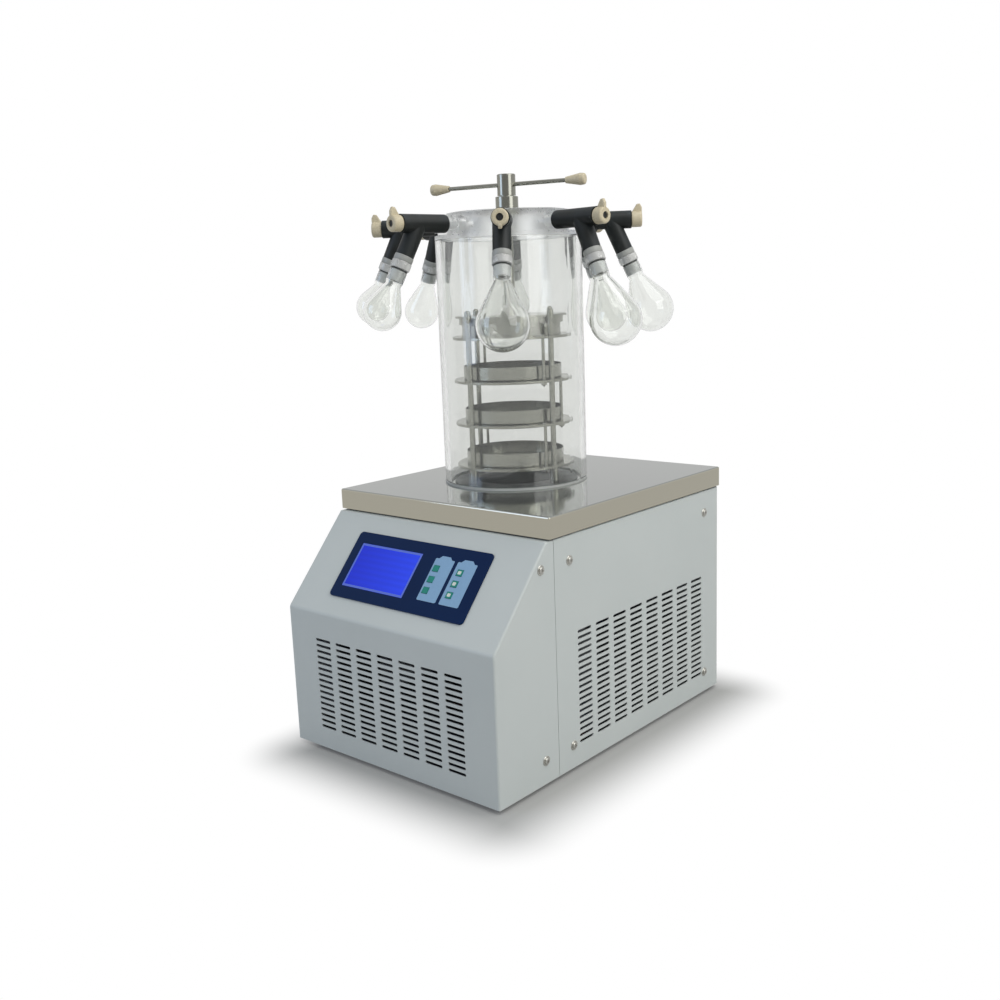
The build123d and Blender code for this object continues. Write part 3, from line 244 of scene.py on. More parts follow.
# %% Powder coat
# Pale grey-green powder coat on steel: satin, with an orange peel of about 1.5 mm.
powder_coat, tree, shader, place = new_material("powder_coated_steel", Roughness=0.42)
cloud = add_node(tree, "ShaderNodeTexNoise", {"Vector": place, "Scale": per_metre(120.0), "Detail": 3.0})
tone = add_node(tree, "ShaderNodeMix", {0: cloud.outputs["Fac"], 6: linear("#BBC1BE"), 7: linear("#C3C8C5")},
                data_type="RGBA")
tree.links.new(tone.outputs[2], shader.inputs["Base Color"])
peel = add_node(tree, "ShaderNodeTexNoise", {"Vector": place, "Scale": per_metre(1.5), "Detail": 2.0})
peel_bump = add_node(tree, "ShaderNodeBump", {"Height": peel.outputs["Fac"], "Strength": 0.12,
                                              "Distance": 0.0001})
tree.links.new(peel_bump.outputs[0], shader.inputs["Normal"])
finish_nodes(powder_coat, "front_cover", "right_side_panel", "left_side_panel", "rear_panel")


# %% Stainless deck
def brushed_height(tree, place, coarse, fine):
    """Height of brush marks: long along X on flat faces, long along the fold on upright faces."""
    upright = add_node(tree, "ShaderNodeVectorMath", {0: place, 1: (coarse, coarse, fine)},
                       operation="MULTIPLY")
    flat = add_node(tree, "ShaderNodeVectorMath", {0: place, 1: (coarse, fine, coarse)}, operation="MULTIPLY")
    normal = add_node(tree, "ShaderNodeNewGeometry").outputs["Normal"]
    rise = add_node(tree, "ShaderNodeSeparateXYZ", {0: normal}).outputs[2]
    on_top = add_node(tree, "ShaderNodeMath", {0: rise, 1: 0.7}, operation="GREATER_THAN")
    choices = {0: on_top.outputs[0], 4: upright.outputs[0], 5: flat.outputs[0]}
    across = add_node(tree, "ShaderNodeMix", choices, data_type="VECTOR")
    return add_node(tree, "ShaderNodeTexNoise", {"Vector": across.outputs[1], "Scale": 1.0,
                                                 "Detail": 3.0}).outputs[0]


# AISI 304 sheet, polished and then finely brushed; the marks are drawn 0.8 mm apart so that they show.  Its
# folded edge is painted warmer than its top, as a painted warm reflection.
deck_steel, tree, shader, place = new_material("brushed_stainless_sheet", Metallic=1.0)
marks = brushed_height(tree, place, per_metre(60.0), per_metre(0.8))
normal = add_node(tree, "ShaderNodeNewGeometry").outputs["Normal"]
rise = add_node(tree, "ShaderNodeSeparateXYZ", {0: normal}).outputs[2]
# Painted reflection: faces that stand upright get a warmer colour than the top, in place of a warm
# reflection.
painted_reflection_to_top = add_node(tree, "ShaderNodeMapRange", {0: rise, 1: 0.2, 2: 0.8, 3: 0.0, 4: 1.0})
tone = add_node(tree, "ShaderNodeMix", {0: painted_reflection_to_top.outputs[0], 6: linear("#C6C2B2"), 7: linear("#A5A8A5")},
                data_type="RGBA")
tree.links.new(tone.outputs[2], shader.inputs["Base Color"])
gloss = add_node(tree, "ShaderNodeMapRange", {0: marks, 1: 0.3, 2: 0.7, 3: 0.06, 4: 0.13})
tree.links.new(gloss.outputs[0], shader.inputs["Roughness"])
mark_bump = add_node(tree, "ShaderNodeBump", {"Height": marks, "Strength": 0.1, "Distance": 0.00003})
tree.links.new(mark_bump.outputs[0], shader.inputs["Normal"])
finish_nodes(deck_steel, "top_deck")

# %% [markdown]
# ## Turned and pressed stainless parts
#
# The rack, the gland and the handle's cap are stainless steel turned on a lathe, which leaves rings round the
# chamber axis.  Their gloss changes with the distance from that axis, so the rings follow the tool.

# %% Turned stainless
low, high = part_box("chamber_tube")
chamber_axis = ((low[0] + high[0]) / 2, (low[1] + high[1]) / 2)
print("chamber axis at", [round(v * 1000, 2) for v in chamber_axis], "mm")


def ring_marks(tree, place, pitch_mm):
    """Height of turning marks: rings round the chamber axis, and lines along it on its sides."""
    from_axis = add_node(tree, "ShaderNodeVectorMath", {0: place, 1: (chamber_axis[0], chamber_axis[1], 0)},
                         operation="SUBTRACT")
    flat = add_node(tree, "ShaderNodeVectorMath", {0: from_axis.outputs[0], 1: (1, 1, 0)},
                    operation="MULTIPLY")
    radius = add_node(tree, "ShaderNodeVectorMath", {0: flat.outputs[0]}, operation="LENGTH").outputs["Value"]
    height = add_node(tree, "ShaderNodeSeparateXYZ", {0: place}).outputs[2]
    across = add_node(tree, "ShaderNodeCombineXYZ", {0: radius, 2: height})
    return add_node(tree, "ShaderNodeTexNoise", {"Vector": across.outputs[0], "Scale": per_metre(pitch_mm),
                                                 "Detail": 2.0}).outputs[0]


# AISI 304 bar and plate, turned: a soft mirror with fine rings, drawn 0.5 mm apart.
turned_steel, tree, shader, place = new_material("turned_stainless_steel", Base_Color=linear("#98988F"),
                                                 Metallic=1.0)
rings = ring_marks(tree, place, 0.5)
gloss = add_node(tree, "ShaderNodeMapRange", {0: rings, 1: 0.3, 2: 0.7, 3: 0.12, 4: 0.24})
tree.links.new(gloss.outputs[0], shader.inputs["Roughness"])
ring_bump = add_node(tree, "ShaderNodeBump", {"Height": rings, "Strength": 0.2, "Distance": 0.00005})
tree.links.new(ring_bump.outputs[0], shader.inputs["Normal"])
finish_nodes(turned_steel, "spindle_gland", "handle_hub", "press_spindle", "guide_posts", "rack_yoke",
             "shelf_1", "shelf_2", "shelf_3", "shelf_4", "tray_2", "tray_3", "tray_4", "vacuum_port")

# %% Plated screws
# Steel screws and cup washers with a satin nickel plate: paler than the stainless, faintly yellow.
nickel, tree, shader, place = new_material("satin_nickel_plate", Base_Color=linear("#C4C3BC"), Metallic=1.0)
haze = add_node(tree, "ShaderNodeTexNoise", {"Vector": place, "Scale": per_metre(1.5), "Detail": 2.0})
gloss = add_node(tree, "ShaderNodeMapRange", {0: haze.outputs[0], 1: 0.3, 2: 0.7, 3: 0.24, 4: 0.36})
tree.links.new(gloss.outputs[0], shader.inputs["Roughness"])
finish_nodes(nickel, "cover_screws")

# %% Pickled stainless
# The cold trap is welded from AISI 304 sheet and pickled in acid.  It is drawn dark grey and matt, in uneven
# patches.
pickled_steel, tree, shader, place = new_material("pickled_stainless_steel", Metallic=1.0)
trap_mottle = add_node(tree, "ShaderNodeTexNoise", {"Vector": place, "Scale": per_metre(18.0), "Detail": 4.0})
tone = add_node(tree, "ShaderNodeMix", {0: trap_mottle.outputs[0], 6: linear("#3A3F40"), 7: linear("#565C5C")},
                data_type="RGBA")
tree.links.new(tone.outputs[2], shader.inputs["Base Color"])
gloss = add_node(tree, "ShaderNodeMapRange", {0: trap_mottle.outputs[0], 1: 0.3, 2: 0.7, 3: 0.35, 4: 0.5})
tree.links.new(gloss.outputs[0], shader.inputs["Roughness"])
finish_nodes(pickled_steel, "cold_trap", "rack_base")

# %% [markdown]
# ## Clear parts
#
# The chamber is cast acrylic tube and plate, solvent welded and polished.  The flasks are blown borosilicate
# glass.  Light bends through a thick wall, so both use real transmission.  A renderer can't find lamps
# through a bending surface, and the shelves inside would sit in a dark shadow, so for shadow rays alone the
# clear parts let light straight through with a slight loss.

# %% Acrylic
def let_lamps_through(material, tree, shader, passed):
    """Shadow rays go straight through with this colour, and all others meet the shader."""
    shadow = add_node(tree, "ShaderNodeLightPath").outputs["Is Shadow Ray"]
    clear = add_node(tree, "ShaderNodeBsdfTransparent", {"Color": linear(passed)})
    both = add_node(tree, "ShaderNodeMixShader", {0: shadow, 1: shader.outputs[0], 2: clear.outputs[0]})
    output = tree.nodes["Material Output"]
    tree.links.new(both.outputs[0], output.inputs["Surface"])


# Cast acrylic, IOR 1.49: a faint grey, with a little haze of fine scratches that scatters light, and wiping
# marks.
acrylic, tree, shader, place = new_material("cast_acrylic", Base_Color=linear("#ECEDEB"), IOR=1.49,
                                            Transmission_Weight=0.975)
wiped = add_node(tree, "ShaderNodeTexNoise", {"Vector": place, "Scale": per_metre(14.0), "Detail": 4.0})
haze = add_node(tree, "ShaderNodeMapRange", {0: wiped.outputs[0], 1: 0.45, 2: 0.75, 3: 0.01, 4: 0.06})
tree.links.new(haze.outputs[0], shader.inputs["Roughness"])
let_lamps_through(acrylic, tree, shader, "#F2F4F4")
finish_nodes(acrylic, "chamber_tube")

# The head is milled from the same plastic: the cutter leaves a fine matt grain, which turns it milky.
milled_acrylic, tree, shader, place = new_material("milled_acrylic", Base_Color=linear("#F6F7F6"), IOR=1.49,
                                                   Transmission_Weight=1.0)
cuts = add_node(tree, "ShaderNodeTexNoise", {"Vector": place, "Scale": per_metre(3.0), "Detail": 3.0})
grain = add_node(tree, "ShaderNodeMapRange", {0: cuts.outputs[0], 1: 0.3, 2: 0.7, 3: 0.26, 4: 0.36})
tree.links.new(grain.outputs[0], shader.inputs["Roughness"])
let_lamps_through(milled_acrylic, tree, shader, "#F2F4F4")
finish_nodes(milled_acrylic, "manifold_head")

# Borosilicate glass, IOR 1.47: fire polished, with the slow waves of a blown wall.
glass, tree, shader, place = new_material("borosilicate_glass", Base_Color=linear("#F4F5F3"), Roughness=0.02,
                                          IOR=1.47, Transmission_Weight=1.0)
waves = add_node(tree, "ShaderNodeTexNoise", {"Vector": place, "Scale": per_metre(30.0), "Detail": 1.0})
wave_bump = add_node(tree, "ShaderNodeBump", {"Height": waves.outputs[0], "Strength": 0.04,
                                              "Distance": 0.0006})
tree.links.new(wave_bump.outputs[0], shader.inputs["Normal"])
let_lamps_through(glass, tree, shader, "#F2F4F4")

# The same glass where the joint is ground: an even fine frost.
ground_glass, tree, shader, place = new_material("ground_glass", Base_Color=linear("#DFE1E0"), IOR=1.47,
                                                 Transmission_Weight=0.85)
grit = add_node(tree, "ShaderNodeTexNoise", {"Vector": place, "Scale": per_metre(0.6), "Detail": 2.0})
frost = add_node(tree, "ShaderNodeMapRange", {0: grit.outputs[0], 1: 0.3, 2: 0.7, 3: 0.4, 4: 0.6})
tree.links.new(frost.outputs[0], shader.inputs["Roughness"])
let_lamps_through(ground_glass, tree, shader, "#D8DAD9")

# %% [markdown]
# ## Flasks
#
# A freeze drying flask is blown on a lathe: a ground neck, a waist and a pear-shaped body with a round
# bottom.  So it is drawn as half an outline, from the outer bottom over the lip to the inner bottom, and spun
# round its axis.  One vertex, extruded point by point, draws the outline.  Each port's place comes from its
# knob's joint in the CAD record, so every flask hangs where the CAD says.

# %% Outline and lathe helpers
def drawn(name, points):
    """A new piece, left in edit mode: a line through points (x, y, z) in millimetres, all of it selected."""
    bpy.ops.object.select_all(action="DESELECT")
    bpy.ops.mesh.primitive_plane_add(size=MM)
    piece = bpy.context.object
    piece.name = name
    bpy.ops.object.mode_set(mode="EDIT")
    bpy.ops.mesh.select_all(action="SELECT")
    bpy.ops.mesh.merge(type="CENTER")
    bpy.ops.transform.translate(value=[v * MM for v in points[0]])
    for before, after in zip(points, points[1:]):
        step = [(b - a) * MM for a, b in zip(before, after)]
        bpy.ops.mesh.extrude_region_move(TRANSFORM_OT_translate={"value": step})
    bpy.ops.mesh.select_all(action="SELECT")
    return piece


def turned(name, outline, steps):
    """A closed, smoothed piece, turned round the Z axis from points (radius, height) in millimetres."""
    piece = drawn(name, [(radius, 0, height) for radius, height in outline])
    bpy.ops.mesh.spin(steps=steps, angle=2 * math.pi, center=(0, 0, 0), axis=(0, 0, 1))
    bpy.ops.mesh.select_all(action="SELECT")
    bpy.ops.mesh.remove_doubles(threshold=0.00002)
    bpy.ops.mesh.normals_make_consistent(inside=False)
    bpy.ops.object.mode_set(mode="OBJECT")
    bpy.ops.object.shade_smooth_by_angle(angle=math.radians(40))
    return piece


def settled_copy(piece, name, place):
    """A copy with its own mesh, moved by a matrix that is then applied."""
    bpy.ops.object.select_all(action="DESELECT")
    piece.select_set(True)
    bpy.context.view_layer.objects.active = piece
    bpy.ops.object.duplicate()
    twin = bpy.context.object
    twin.name = name
    twin.matrix_world = place
    bpy.ops.object.transform_apply(location=True, rotation=True, scale=True)
    return twin


def arc(centre, radius, start, end, count):
    """Points of an arc in the outline's plane; angles in degrees from the bottom of the flask upwards."""
    turns = [math.radians(start + (end - start) * i / count) for i in range(count + 1)]
    return [(radius * math.sin(t), centre + radius * math.cos(t)) for t in turns]


# %% Ports
branch_start = 153.0 * MM
branch_tilt = math.radians(24)
knob_reach = 184.0 * MM
branch_swings = {8: math.radians(-10)}
port_places = {}
branch_places = {}
for port in range(1, 9):
    joint = joints[f"knob_{port}_turn"]
    heading = math.atan2(joint["axis"][1], joint["axis"][0])
    seat = math.dist(joint["pos_m"][:2], chamber_axis) - knob_reach
    outwards = Matrix.Rotation(heading, 4, "Z") @ Matrix.Translation((seat, 0, 0))
    port_places[port] = Matrix.Translation((*chamber_axis, joint["pos_m"][2])) @ outwards
    swing = Matrix.Rotation(branch_swings.get(port, 0.0), 4, "X")
    down_branch = Matrix.Translation((branch_start, 0, 0)) @ Matrix.Rotation(math.pi - branch_tilt, 4, "Y")
    branch_places[port] = port_places[port] @ swing @ down_branch
print("ports at", [round(math.degrees(m.to_euler().z)) for m in port_places.values()], "degrees")

# %% Flask outlines
glass_wall = 1.8
neck_start, neck_end, waist = 70.7, 87.2, 92.2
socket_limit = 10.95                    # between the inside and the outside of the neck


def pear_side(bulb_radius, bottom, inset):
    """One side of the glass from the bottom pole up to the waist, as (radius, distance down the branch)."""
    ball = bulb_radius - inset
    middle = bottom - bulb_radius
    waist_radius = 11.4 - inset
    away = math.hypot(waist_radius, middle - waist)
    touch = math.acos(ball / away) + math.atan2(waist_radius, middle - waist)
    side = arc(middle, ball, 0, 180 - math.degrees(touch), 22)
    end = side[-1]
    for share in (0.25, 0.5, 0.75, 0.9):
        side.append((end[0] + (waist_radius - end[0]) * share, end[1] + (waist - end[1]) * share))
    side += [(waist_radius + 0.12, waist + 0.6), (waist_radius + 0.1, waist - 0.8),
             (waist_radius + 0.4, waist - 2.4), (waist_radius + 0.8, waist - 4.0),
             (waist_radius + 1.0, waist - 5.6)]
    return side


def flask_outline(bulb_radius, bottom):
    """Outer bottom, body, neck and rounded lip, then the ground socket and the inside."""
    outside = pear_side(bulb_radius, bottom, 0.0)
    inside = pear_side(bulb_radius, bottom, glass_wall)
    lip = [(12.4, neck_start + 1.2), (12.1, neck_start + 0.5), (11.5, neck_start + 0.2),
           (10.9, neck_start + 0.5), (10.6, neck_start + 1.2)]
    return outside + lip + inside[::-1]


def glass_flask(name, bulb_radius, bottom):
    """One flask on the Z axis, its socket frosted."""
    flask = turned(name, flask_outline(bulb_radius, bottom), 72)
    flask.data.materials.append(glass)
    flask.data.materials.append(ground_glass)
    for face in flask.data.polygons:
        in_neck = face.center.z < (neck_end - 0.8) * MM
        inside = math.hypot(face.center.x, face.center.y) < socket_limit * MM
        face.material_index = 1 if in_neck and inside else 0
    return flask


# %% Hang the flasks
flask_sizes = {1: (36.5, 190.0), 2: (36.5, 190.0), 3: (34.0, 178.0), 4: (36.5, 190.0), 5: (25.5, 158.0),
               6: (28.0, 167.0), 7: (26.5, 152.0), 8: (27.0, 159.0)}
patterns = {size: glass_flask(f"pattern_{size[0]}", *size) for size in set(flask_sizes.values())}
for port, place_of_branch in branch_places.items():
    piece = settled_copy(patterns[flask_sizes[port]], f"glass_flask_{port}", place_of_branch)
    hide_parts(f"flask_{port}")
    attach(piece, "cabinet")
for pattern in patterns.values():
    print(pattern.name, len(pattern.data.polygons), "faces")
    bpy.data.objects.remove(pattern)

# %% [markdown]
# ## Flask adaptors
#
# Between the rubber valve and the glass sits a turned adaptor: a grey ring, a rounded collar of clear
# plastic, an O-ring and a ground cone.  Each band has its own finish, so the outline is spun once and its
# faces take their material by their height.

# %% Adaptor finishes
# Grey acetal, turned: satin, with faint tool rings.
ring_plastic, tree, shader, place = new_material("turned_grey_acetal", Base_Color=linear("#A1A29D"))
speck = add_node(tree, "ShaderNodeTexNoise", {"Vector": place, "Scale": per_metre(1.2), "Detail": 3.0})
gloss = add_node(tree, "ShaderNodeMapRange", {0: speck.outputs[0], 1: 0.3, 2: 0.7, 3: 0.3, 4: 0.42})
tree.links.new(gloss.outputs[0], shader.inputs["Roughness"])
# Clear polycarbonate collar with a milky body.
collar_plastic, tree, shader, place = new_material("milky_polycarbonate", Base_Color=linear("#E4E4E0"),
                                                   IOR=1.58, Transmission_Weight=0.45)
flow = add_node(tree, "ShaderNodeTexNoise", {"Vector": place, "Scale": per_metre(8.0), "Detail": 2.0})
gloss = add_node(tree, "ShaderNodeMapRange", {0: flow.outputs[0], 1: 0.3, 2: 0.7, 3: 0.16, 4: 0.3})
tree.links.new(gloss.outputs[0], shader.inputs["Roughness"])
# Nitrile O-ring: dark, satin.
seal_rubber, tree, shader, place = new_material("nitrile_rubber", Base_Color=linear("#3A3D39"))
dust = add_node(tree, "ShaderNodeTexNoise", {"Vector": place, "Scale": per_metre(0.8), "Detail": 3.0})
gloss = add_node(tree, "ShaderNodeMapRange", {0: dust.outputs[0], 1: 0.3, 2: 0.7, 3: 0.4, 4: 0.55})
tree.links.new(gloss.outputs[0], shader.inputs["Roughness"])
# Ground cone of the same plastic: matt.
cone_plastic, tree, shader, place = new_material("ground_polycarbonate", Base_Color=linear("#B4B5B0"))
grit = add_node(tree, "ShaderNodeTexNoise", {"Vector": place, "Scale": per_metre(0.5), "Detail": 2.0})
grit_bump = add_node(tree, "ShaderNodeBump", {"Height": grit.outputs[0], "Strength": 0.4, "Distance": 0.0001})
tree.links.new(grit_bump.outputs[0], shader.inputs["Normal"])
shader.inputs["Roughness"].default_value = 0.55

# %% Adaptors
collar_radius, collar_edge, bore = 14.1, 1.6, 5.5
collar_start, collar_end, seal_end = 57.0, 68.5, 70.7
edge_turns = [math.radians(a) for a in range(0, 91, 15)]
collar_round = [(collar_radius - collar_edge + collar_edge * math.sin(t),
                 collar_start + collar_edge - collar_edge * math.cos(t)) for t in edge_turns]
collar_under = [(collar_radius - collar_edge + collar_edge * math.cos(t),
                 collar_end - collar_edge + collar_edge * math.sin(t)) for t in edge_turns]
seal = [(11.3, 68.7), (11.9, 68.9), (12.3, 69.6), (11.9, 70.3), (11.3, 70.5)]
ring = [(bore, 33.0), (8.4, 33.0), (9.0, 33.8), (9.0, 49.0), (13.1, 49.0), (13.6, 49.5), (13.6, 56.4),
        (13.2, 56.9), (12.4, collar_start)]
cone = [(10.5, seal_end), (10.5, 85.2), (10.1, 85.7), (bore, 85.7), (bore, 33.0)]
adaptor_outline = ring + collar_round + collar_under + [(11.3, collar_end)] + seal + cone
adaptor = turned("adaptor", adaptor_outline, 64)
for finish in (ring_plastic, collar_plastic, seal_rubber, cone_plastic):
    adaptor.data.materials.append(finish)
for face in adaptor.data.polygons:
    depth = face.center.z / MM
    outer = math.hypot(face.center.x, face.center.y) > (bore + 0.3) * MM
    band = sum(depth >= limit for limit in (collar_start, collar_end + 0.1, seal_end - 0.1))
    face.material_index = band if outer else 0
for port, place_of_branch in branch_places.items():
    piece = settled_copy(adaptor, f"flask_adaptor_{port}", place_of_branch)
    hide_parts("flask_adaptors")
    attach(piece, "cabinet")
bpy.data.objects.remove(adaptor)
print("adaptors on", len(branch_places), "ports")

# %% [markdown]
# ## Rubber and moulded plastic
#
# The valves are black moulded rubber.  Rubber sweats out a little wax, called bloom, which lies on it as a
# thin blue grey film in patches; on faces that look up the blue grey is also a painted highlight.  The knobs
# and grips are beige mouldings with a fine grain.

# %% Valve rubber
# Moulded EPDM: dark, satin, with blue grey bloom in patches, laid mostly on faces that look up as a painted
# highlight.
rubber, tree, shader, place = new_material("moulded_epdm_rubber", IOR=1.52, Specular_IOR_Level=0.35)
patch = add_node(tree, "ShaderNodeTexNoise", {"Vector": place, "Scale": per_metre(22.0), "Detail": 4.0})
normal = add_node(tree, "ShaderNodeNewGeometry").outputs["Normal"]
rise = add_node(tree, "ShaderNodeSeparateXYZ", {0: normal}).outputs[2]
sheen_facing_up = add_node(tree, "ShaderNodeMapRange", {0: rise, 1: -0.2, 2: 0.9, 3: 0.0, 4: 1.0})
film_share = add_node(tree, "ShaderNodeMapRange", {0: patch.outputs[0], 1: 0.4, 2: 0.7, 3: 0.1, 4: 1.0})
# Painted highlight and bloom: the blue grey goes on faces that look up, in patches.
painted_sheen_and_bloom = add_node(tree, "ShaderNodeMath", {0: sheen_facing_up.outputs[0], 1: film_share.outputs[0]},
                 operation="MULTIPLY")
tone = add_node(tree, "ShaderNodeMix", {0: painted_sheen_and_bloom.outputs[0], 6: linear("#151917"), 7: linear("#2E363B")},
                data_type="RGBA")
tree.links.new(tone.outputs[2], shader.inputs["Base Color"])
gloss = add_node(tree, "ShaderNodeMapRange", {0: patch.outputs[0], 1: 0.3, 2: 0.7, 3: 0.42, 4: 0.58})
tree.links.new(gloss.outputs[0], shader.inputs["Roughness"])
skin = add_node(tree, "ShaderNodeTexNoise", {"Vector": place, "Scale": per_metre(1.0), "Detail": 2.0})
skin_bump = add_node(tree, "ShaderNodeBump", {"Height": skin.outputs[0], "Strength": 0.15,
                                              "Distance": 0.0001})
tree.links.new(skin_bump.outputs[0], shader.inputs["Normal"])
finish_nodes(rubber, "port_valves", "feet")

# %% Beige mouldings
# Glass filled nylon, moulded: satin beige with darker specks about half a millimetre across.
beige_nylon, tree, shader, place = new_material("beige_filled_nylon")
specks = add_node(tree, "ShaderNodeTexNoise", {"Vector": place, "Scale": per_metre(0.9), "Detail": 2.0})
speckle = add_node(tree, "ShaderNodeMapRange", {0: specks.outputs[0], 1: 0.42, 2: 0.62, 3: 0.0, 4: 1.0})
tone = add_node(tree, "ShaderNodeMix", {0: speckle.outputs[0], 6: linear("#CFC5AA"), 7: linear("#B8AA8A")},
                data_type="RGBA")
tree.links.new(tone.outputs[2], shader.inputs["Base Color"])
gloss = add_node(tree, "ShaderNodeMapRange", {0: specks.outputs[0], 1: 0.3, 2: 0.7, 3: 0.36, 4: 0.48})
tree.links.new(gloss.outputs[0], shader.inputs["Roughness"])
grain_bump = add_node(tree, "ShaderNodeBump", {"Height": specks.outputs[0], "Strength": 0.2,
                                               "Distance": 0.0001})
tree.links.new(grain_bump.outputs[0], shader.inputs["Normal"])
finish_nodes(beige_nylon, "bar_grips", *[f"valve_knob_{port}" for port in range(1, 9)])

# %% Gasket
# Clear silicone, moulded flat: milky and slightly tacky.
silicone, tree, shader, place = new_material("milky_silicone", Base_Color=linear("#D5D7D3"), IOR=1.41,
                                             Transmission_Weight=0.4)
lint = add_node(tree, "ShaderNodeTexNoise", {"Vector": place, "Scale": per_metre(2.0), "Detail": 3.0})
gloss = add_node(tree, "ShaderNodeMapRange", {0: lint.outputs[0], 1: 0.3, 2: 0.7, 3: 0.3, 4: 0.45})
tree.links.new(gloss.outputs[0], shader.inputs["Roughness"])
finish_nodes(silicone, "base_gasket")

# %% [markdown]
# ## Control panel
#
# The panel is a printed polyester film on a plate: navy, with a window for the display and two pale blue
# fields round the keys.  The film itself is a CAD plate.  The printed fields, the display's lit margin and
# the pale middles of the right-hand keys are thin pieces on it, because print has sharp edges that a texture
# would blur.

# %% Film, screen and key finishes
# Screen printed polyester film: navy ink under a fine matt texture.
navy_film, tree, shader, place = new_material("printed_polyester_film", Specular_IOR_Level=0.1)
ink = add_node(tree, "ShaderNodeTexNoise", {"Vector": place, "Scale": per_metre(60.0), "Detail": 2.0})
tone = add_node(tree, "ShaderNodeMix", {0: ink.outputs[0], 6: linear("#001B42"), 7: linear("#04244C")},
                data_type="RGBA")
tree.links.new(tone.outputs[2], shader.inputs["Base Color"])
texture = add_node(tree, "ShaderNodeTexNoise", {"Vector": place, "Scale": per_metre(0.4), "Detail": 1.0})
film_bump = add_node(tree, "ShaderNodeBump", {"Height": texture.outputs[0], "Strength": 0.1,
                                              "Distance": 0.00005})
tree.links.new(film_bump.outputs[0], shader.inputs["Normal"])
shader.inputs["Roughness"].default_value = 0.32
finish_nodes(navy_film, "control_panel")

# Liquid crystal window with its backlight on: blue, brighter towards the lamp at its right-hand end, with
# fine rows.
screen, tree, shader, place = new_material("backlit_lcd", Roughness=0.16, Specular_IOR_Level=0.25,
                                           Emission_Strength=0.25)
along = add_node(tree, "ShaderNodeSeparateXYZ", {0: place}).outputs[0]
screen_left, screen_right = -0.115, 0.01
lamp_share = add_node(tree, "ShaderNodeMapRange", {0: along, 1: screen_left, 2: screen_right, 3: 0.0, 4: 1.0})
tone = add_node(tree, "ShaderNodeMix", {0: lamp_share.outputs[0], 6: linear("#1029C2"), 7: linear("#2442E2")},
                data_type="RGBA")
wave_inputs = {"Vector": place, "Scale": per_metre(1.1) / 20, "Distortion": 0.0}
row_wave = add_node(tree, "ShaderNodeTexWave", wave_inputs, bands_direction="Z")
rows = add_node(tree, "ShaderNodeMapRange", {0: row_wave.outputs["Fac"], 3: 0.92, 4: 1.0})
lines = add_node(tree, "ShaderNodeVectorMath", {0: tone.outputs[2], "Scale": rows.outputs[0]},
                 operation="SCALE")
tree.links.new(lines.outputs[0], shader.inputs["Base Color"])
tree.links.new(lines.outputs[0], shader.inputs["Emission Color"])
finish_nodes(screen, "display_module")

# Moulded silicone rubber keys: green, satin, a little darker where fingers polish them.
key_green, tree, shader, place = new_material("moulded_silicone_rubber", IOR=1.41)
touch = add_node(tree, "ShaderNodeTexNoise", {"Vector": place, "Scale": per_metre(6.0), "Detail": 3.0})
tone = add_node(tree, "ShaderNodeMix", {0: touch.outputs[0], 6: linear("#0F7268"), 7: linear("#1B8C7C")},
                data_type="RGBA")
tree.links.new(tone.outputs[2], shader.inputs["Base Color"])
gloss = add_node(tree, "ShaderNodeMapRange", {0: touch.outputs[0], 1: 0.3, 2: 0.7, 3: 0.38, 4: 0.55})
tree.links.new(gloss.outputs[0], shader.inputs["Roughness"])
finish_nodes(key_green, *[f"key_{key}" for key in range(1, 7)])


def printed_ink(name, pale, deep):
    """Screen printing ink on film: matt, with the faint mottle of a screen."""
    ink, tree, shader, place = new_material(name, Roughness=0.4)
    mottle = add_node(tree, "ShaderNodeTexNoise", {"Vector": place, "Scale": per_metre(3.0), "Detail": 3.0})
    tone = add_node(tree, "ShaderNodeMix", {0: mottle.outputs[0], 6: linear(pale), 7: linear(deep)},
                    data_type="RGBA")
    tree.links.new(tone.outputs[2], shader.inputs["Base Color"])
    return ink


field_ink = printed_ink("pale_blue_printing_ink", "#82A8CA", "#799EBE")
margin_ink = printed_ink("light_blue_printing_ink", "#5A74D6", "#4E68CC")
legend_ink = printed_ink("off_white_printing_ink", "#D5DBD2", "#C6CEC6")

# %% [markdown]
# Every printed piece is drawn flat on the slope, filled, cut at the edges of its openings and raised by the
# thickness of the ink.  The slope starts at the bend of the front cover, so its place is measured from the
# lower front edge of that cover's box.

# %% Print helper
low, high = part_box("front_cover")
bend_height, slope_rise, slope_setback = 208.0, 123.8, 111.0
slope_foot = Vector((0.0, low[1], low[2] + bend_height * MM))
slope_angle = math.atan2(slope_rise, slope_setback)
slope = Matrix.Translation(slope_foot) @ Matrix.Rotation(slope_angle, 4, "X")
panel_middle = 83.3
print("slope starts at", [round(v * 1000, 1) for v in slope_foot], "mm and leans",
      round(math.degrees(slope_angle), 2))


def cut_line(at, along):
    """Cuts the piece being edited by a line across X or Y."""
    bpy.ops.mesh.select_all(action="SELECT")
    across = (1, 0, 0) if along == "X" else (0, 1, 0)
    bpy.ops.mesh.bisect(plane_co=[at * MM * c for c in across], plane_no=across)


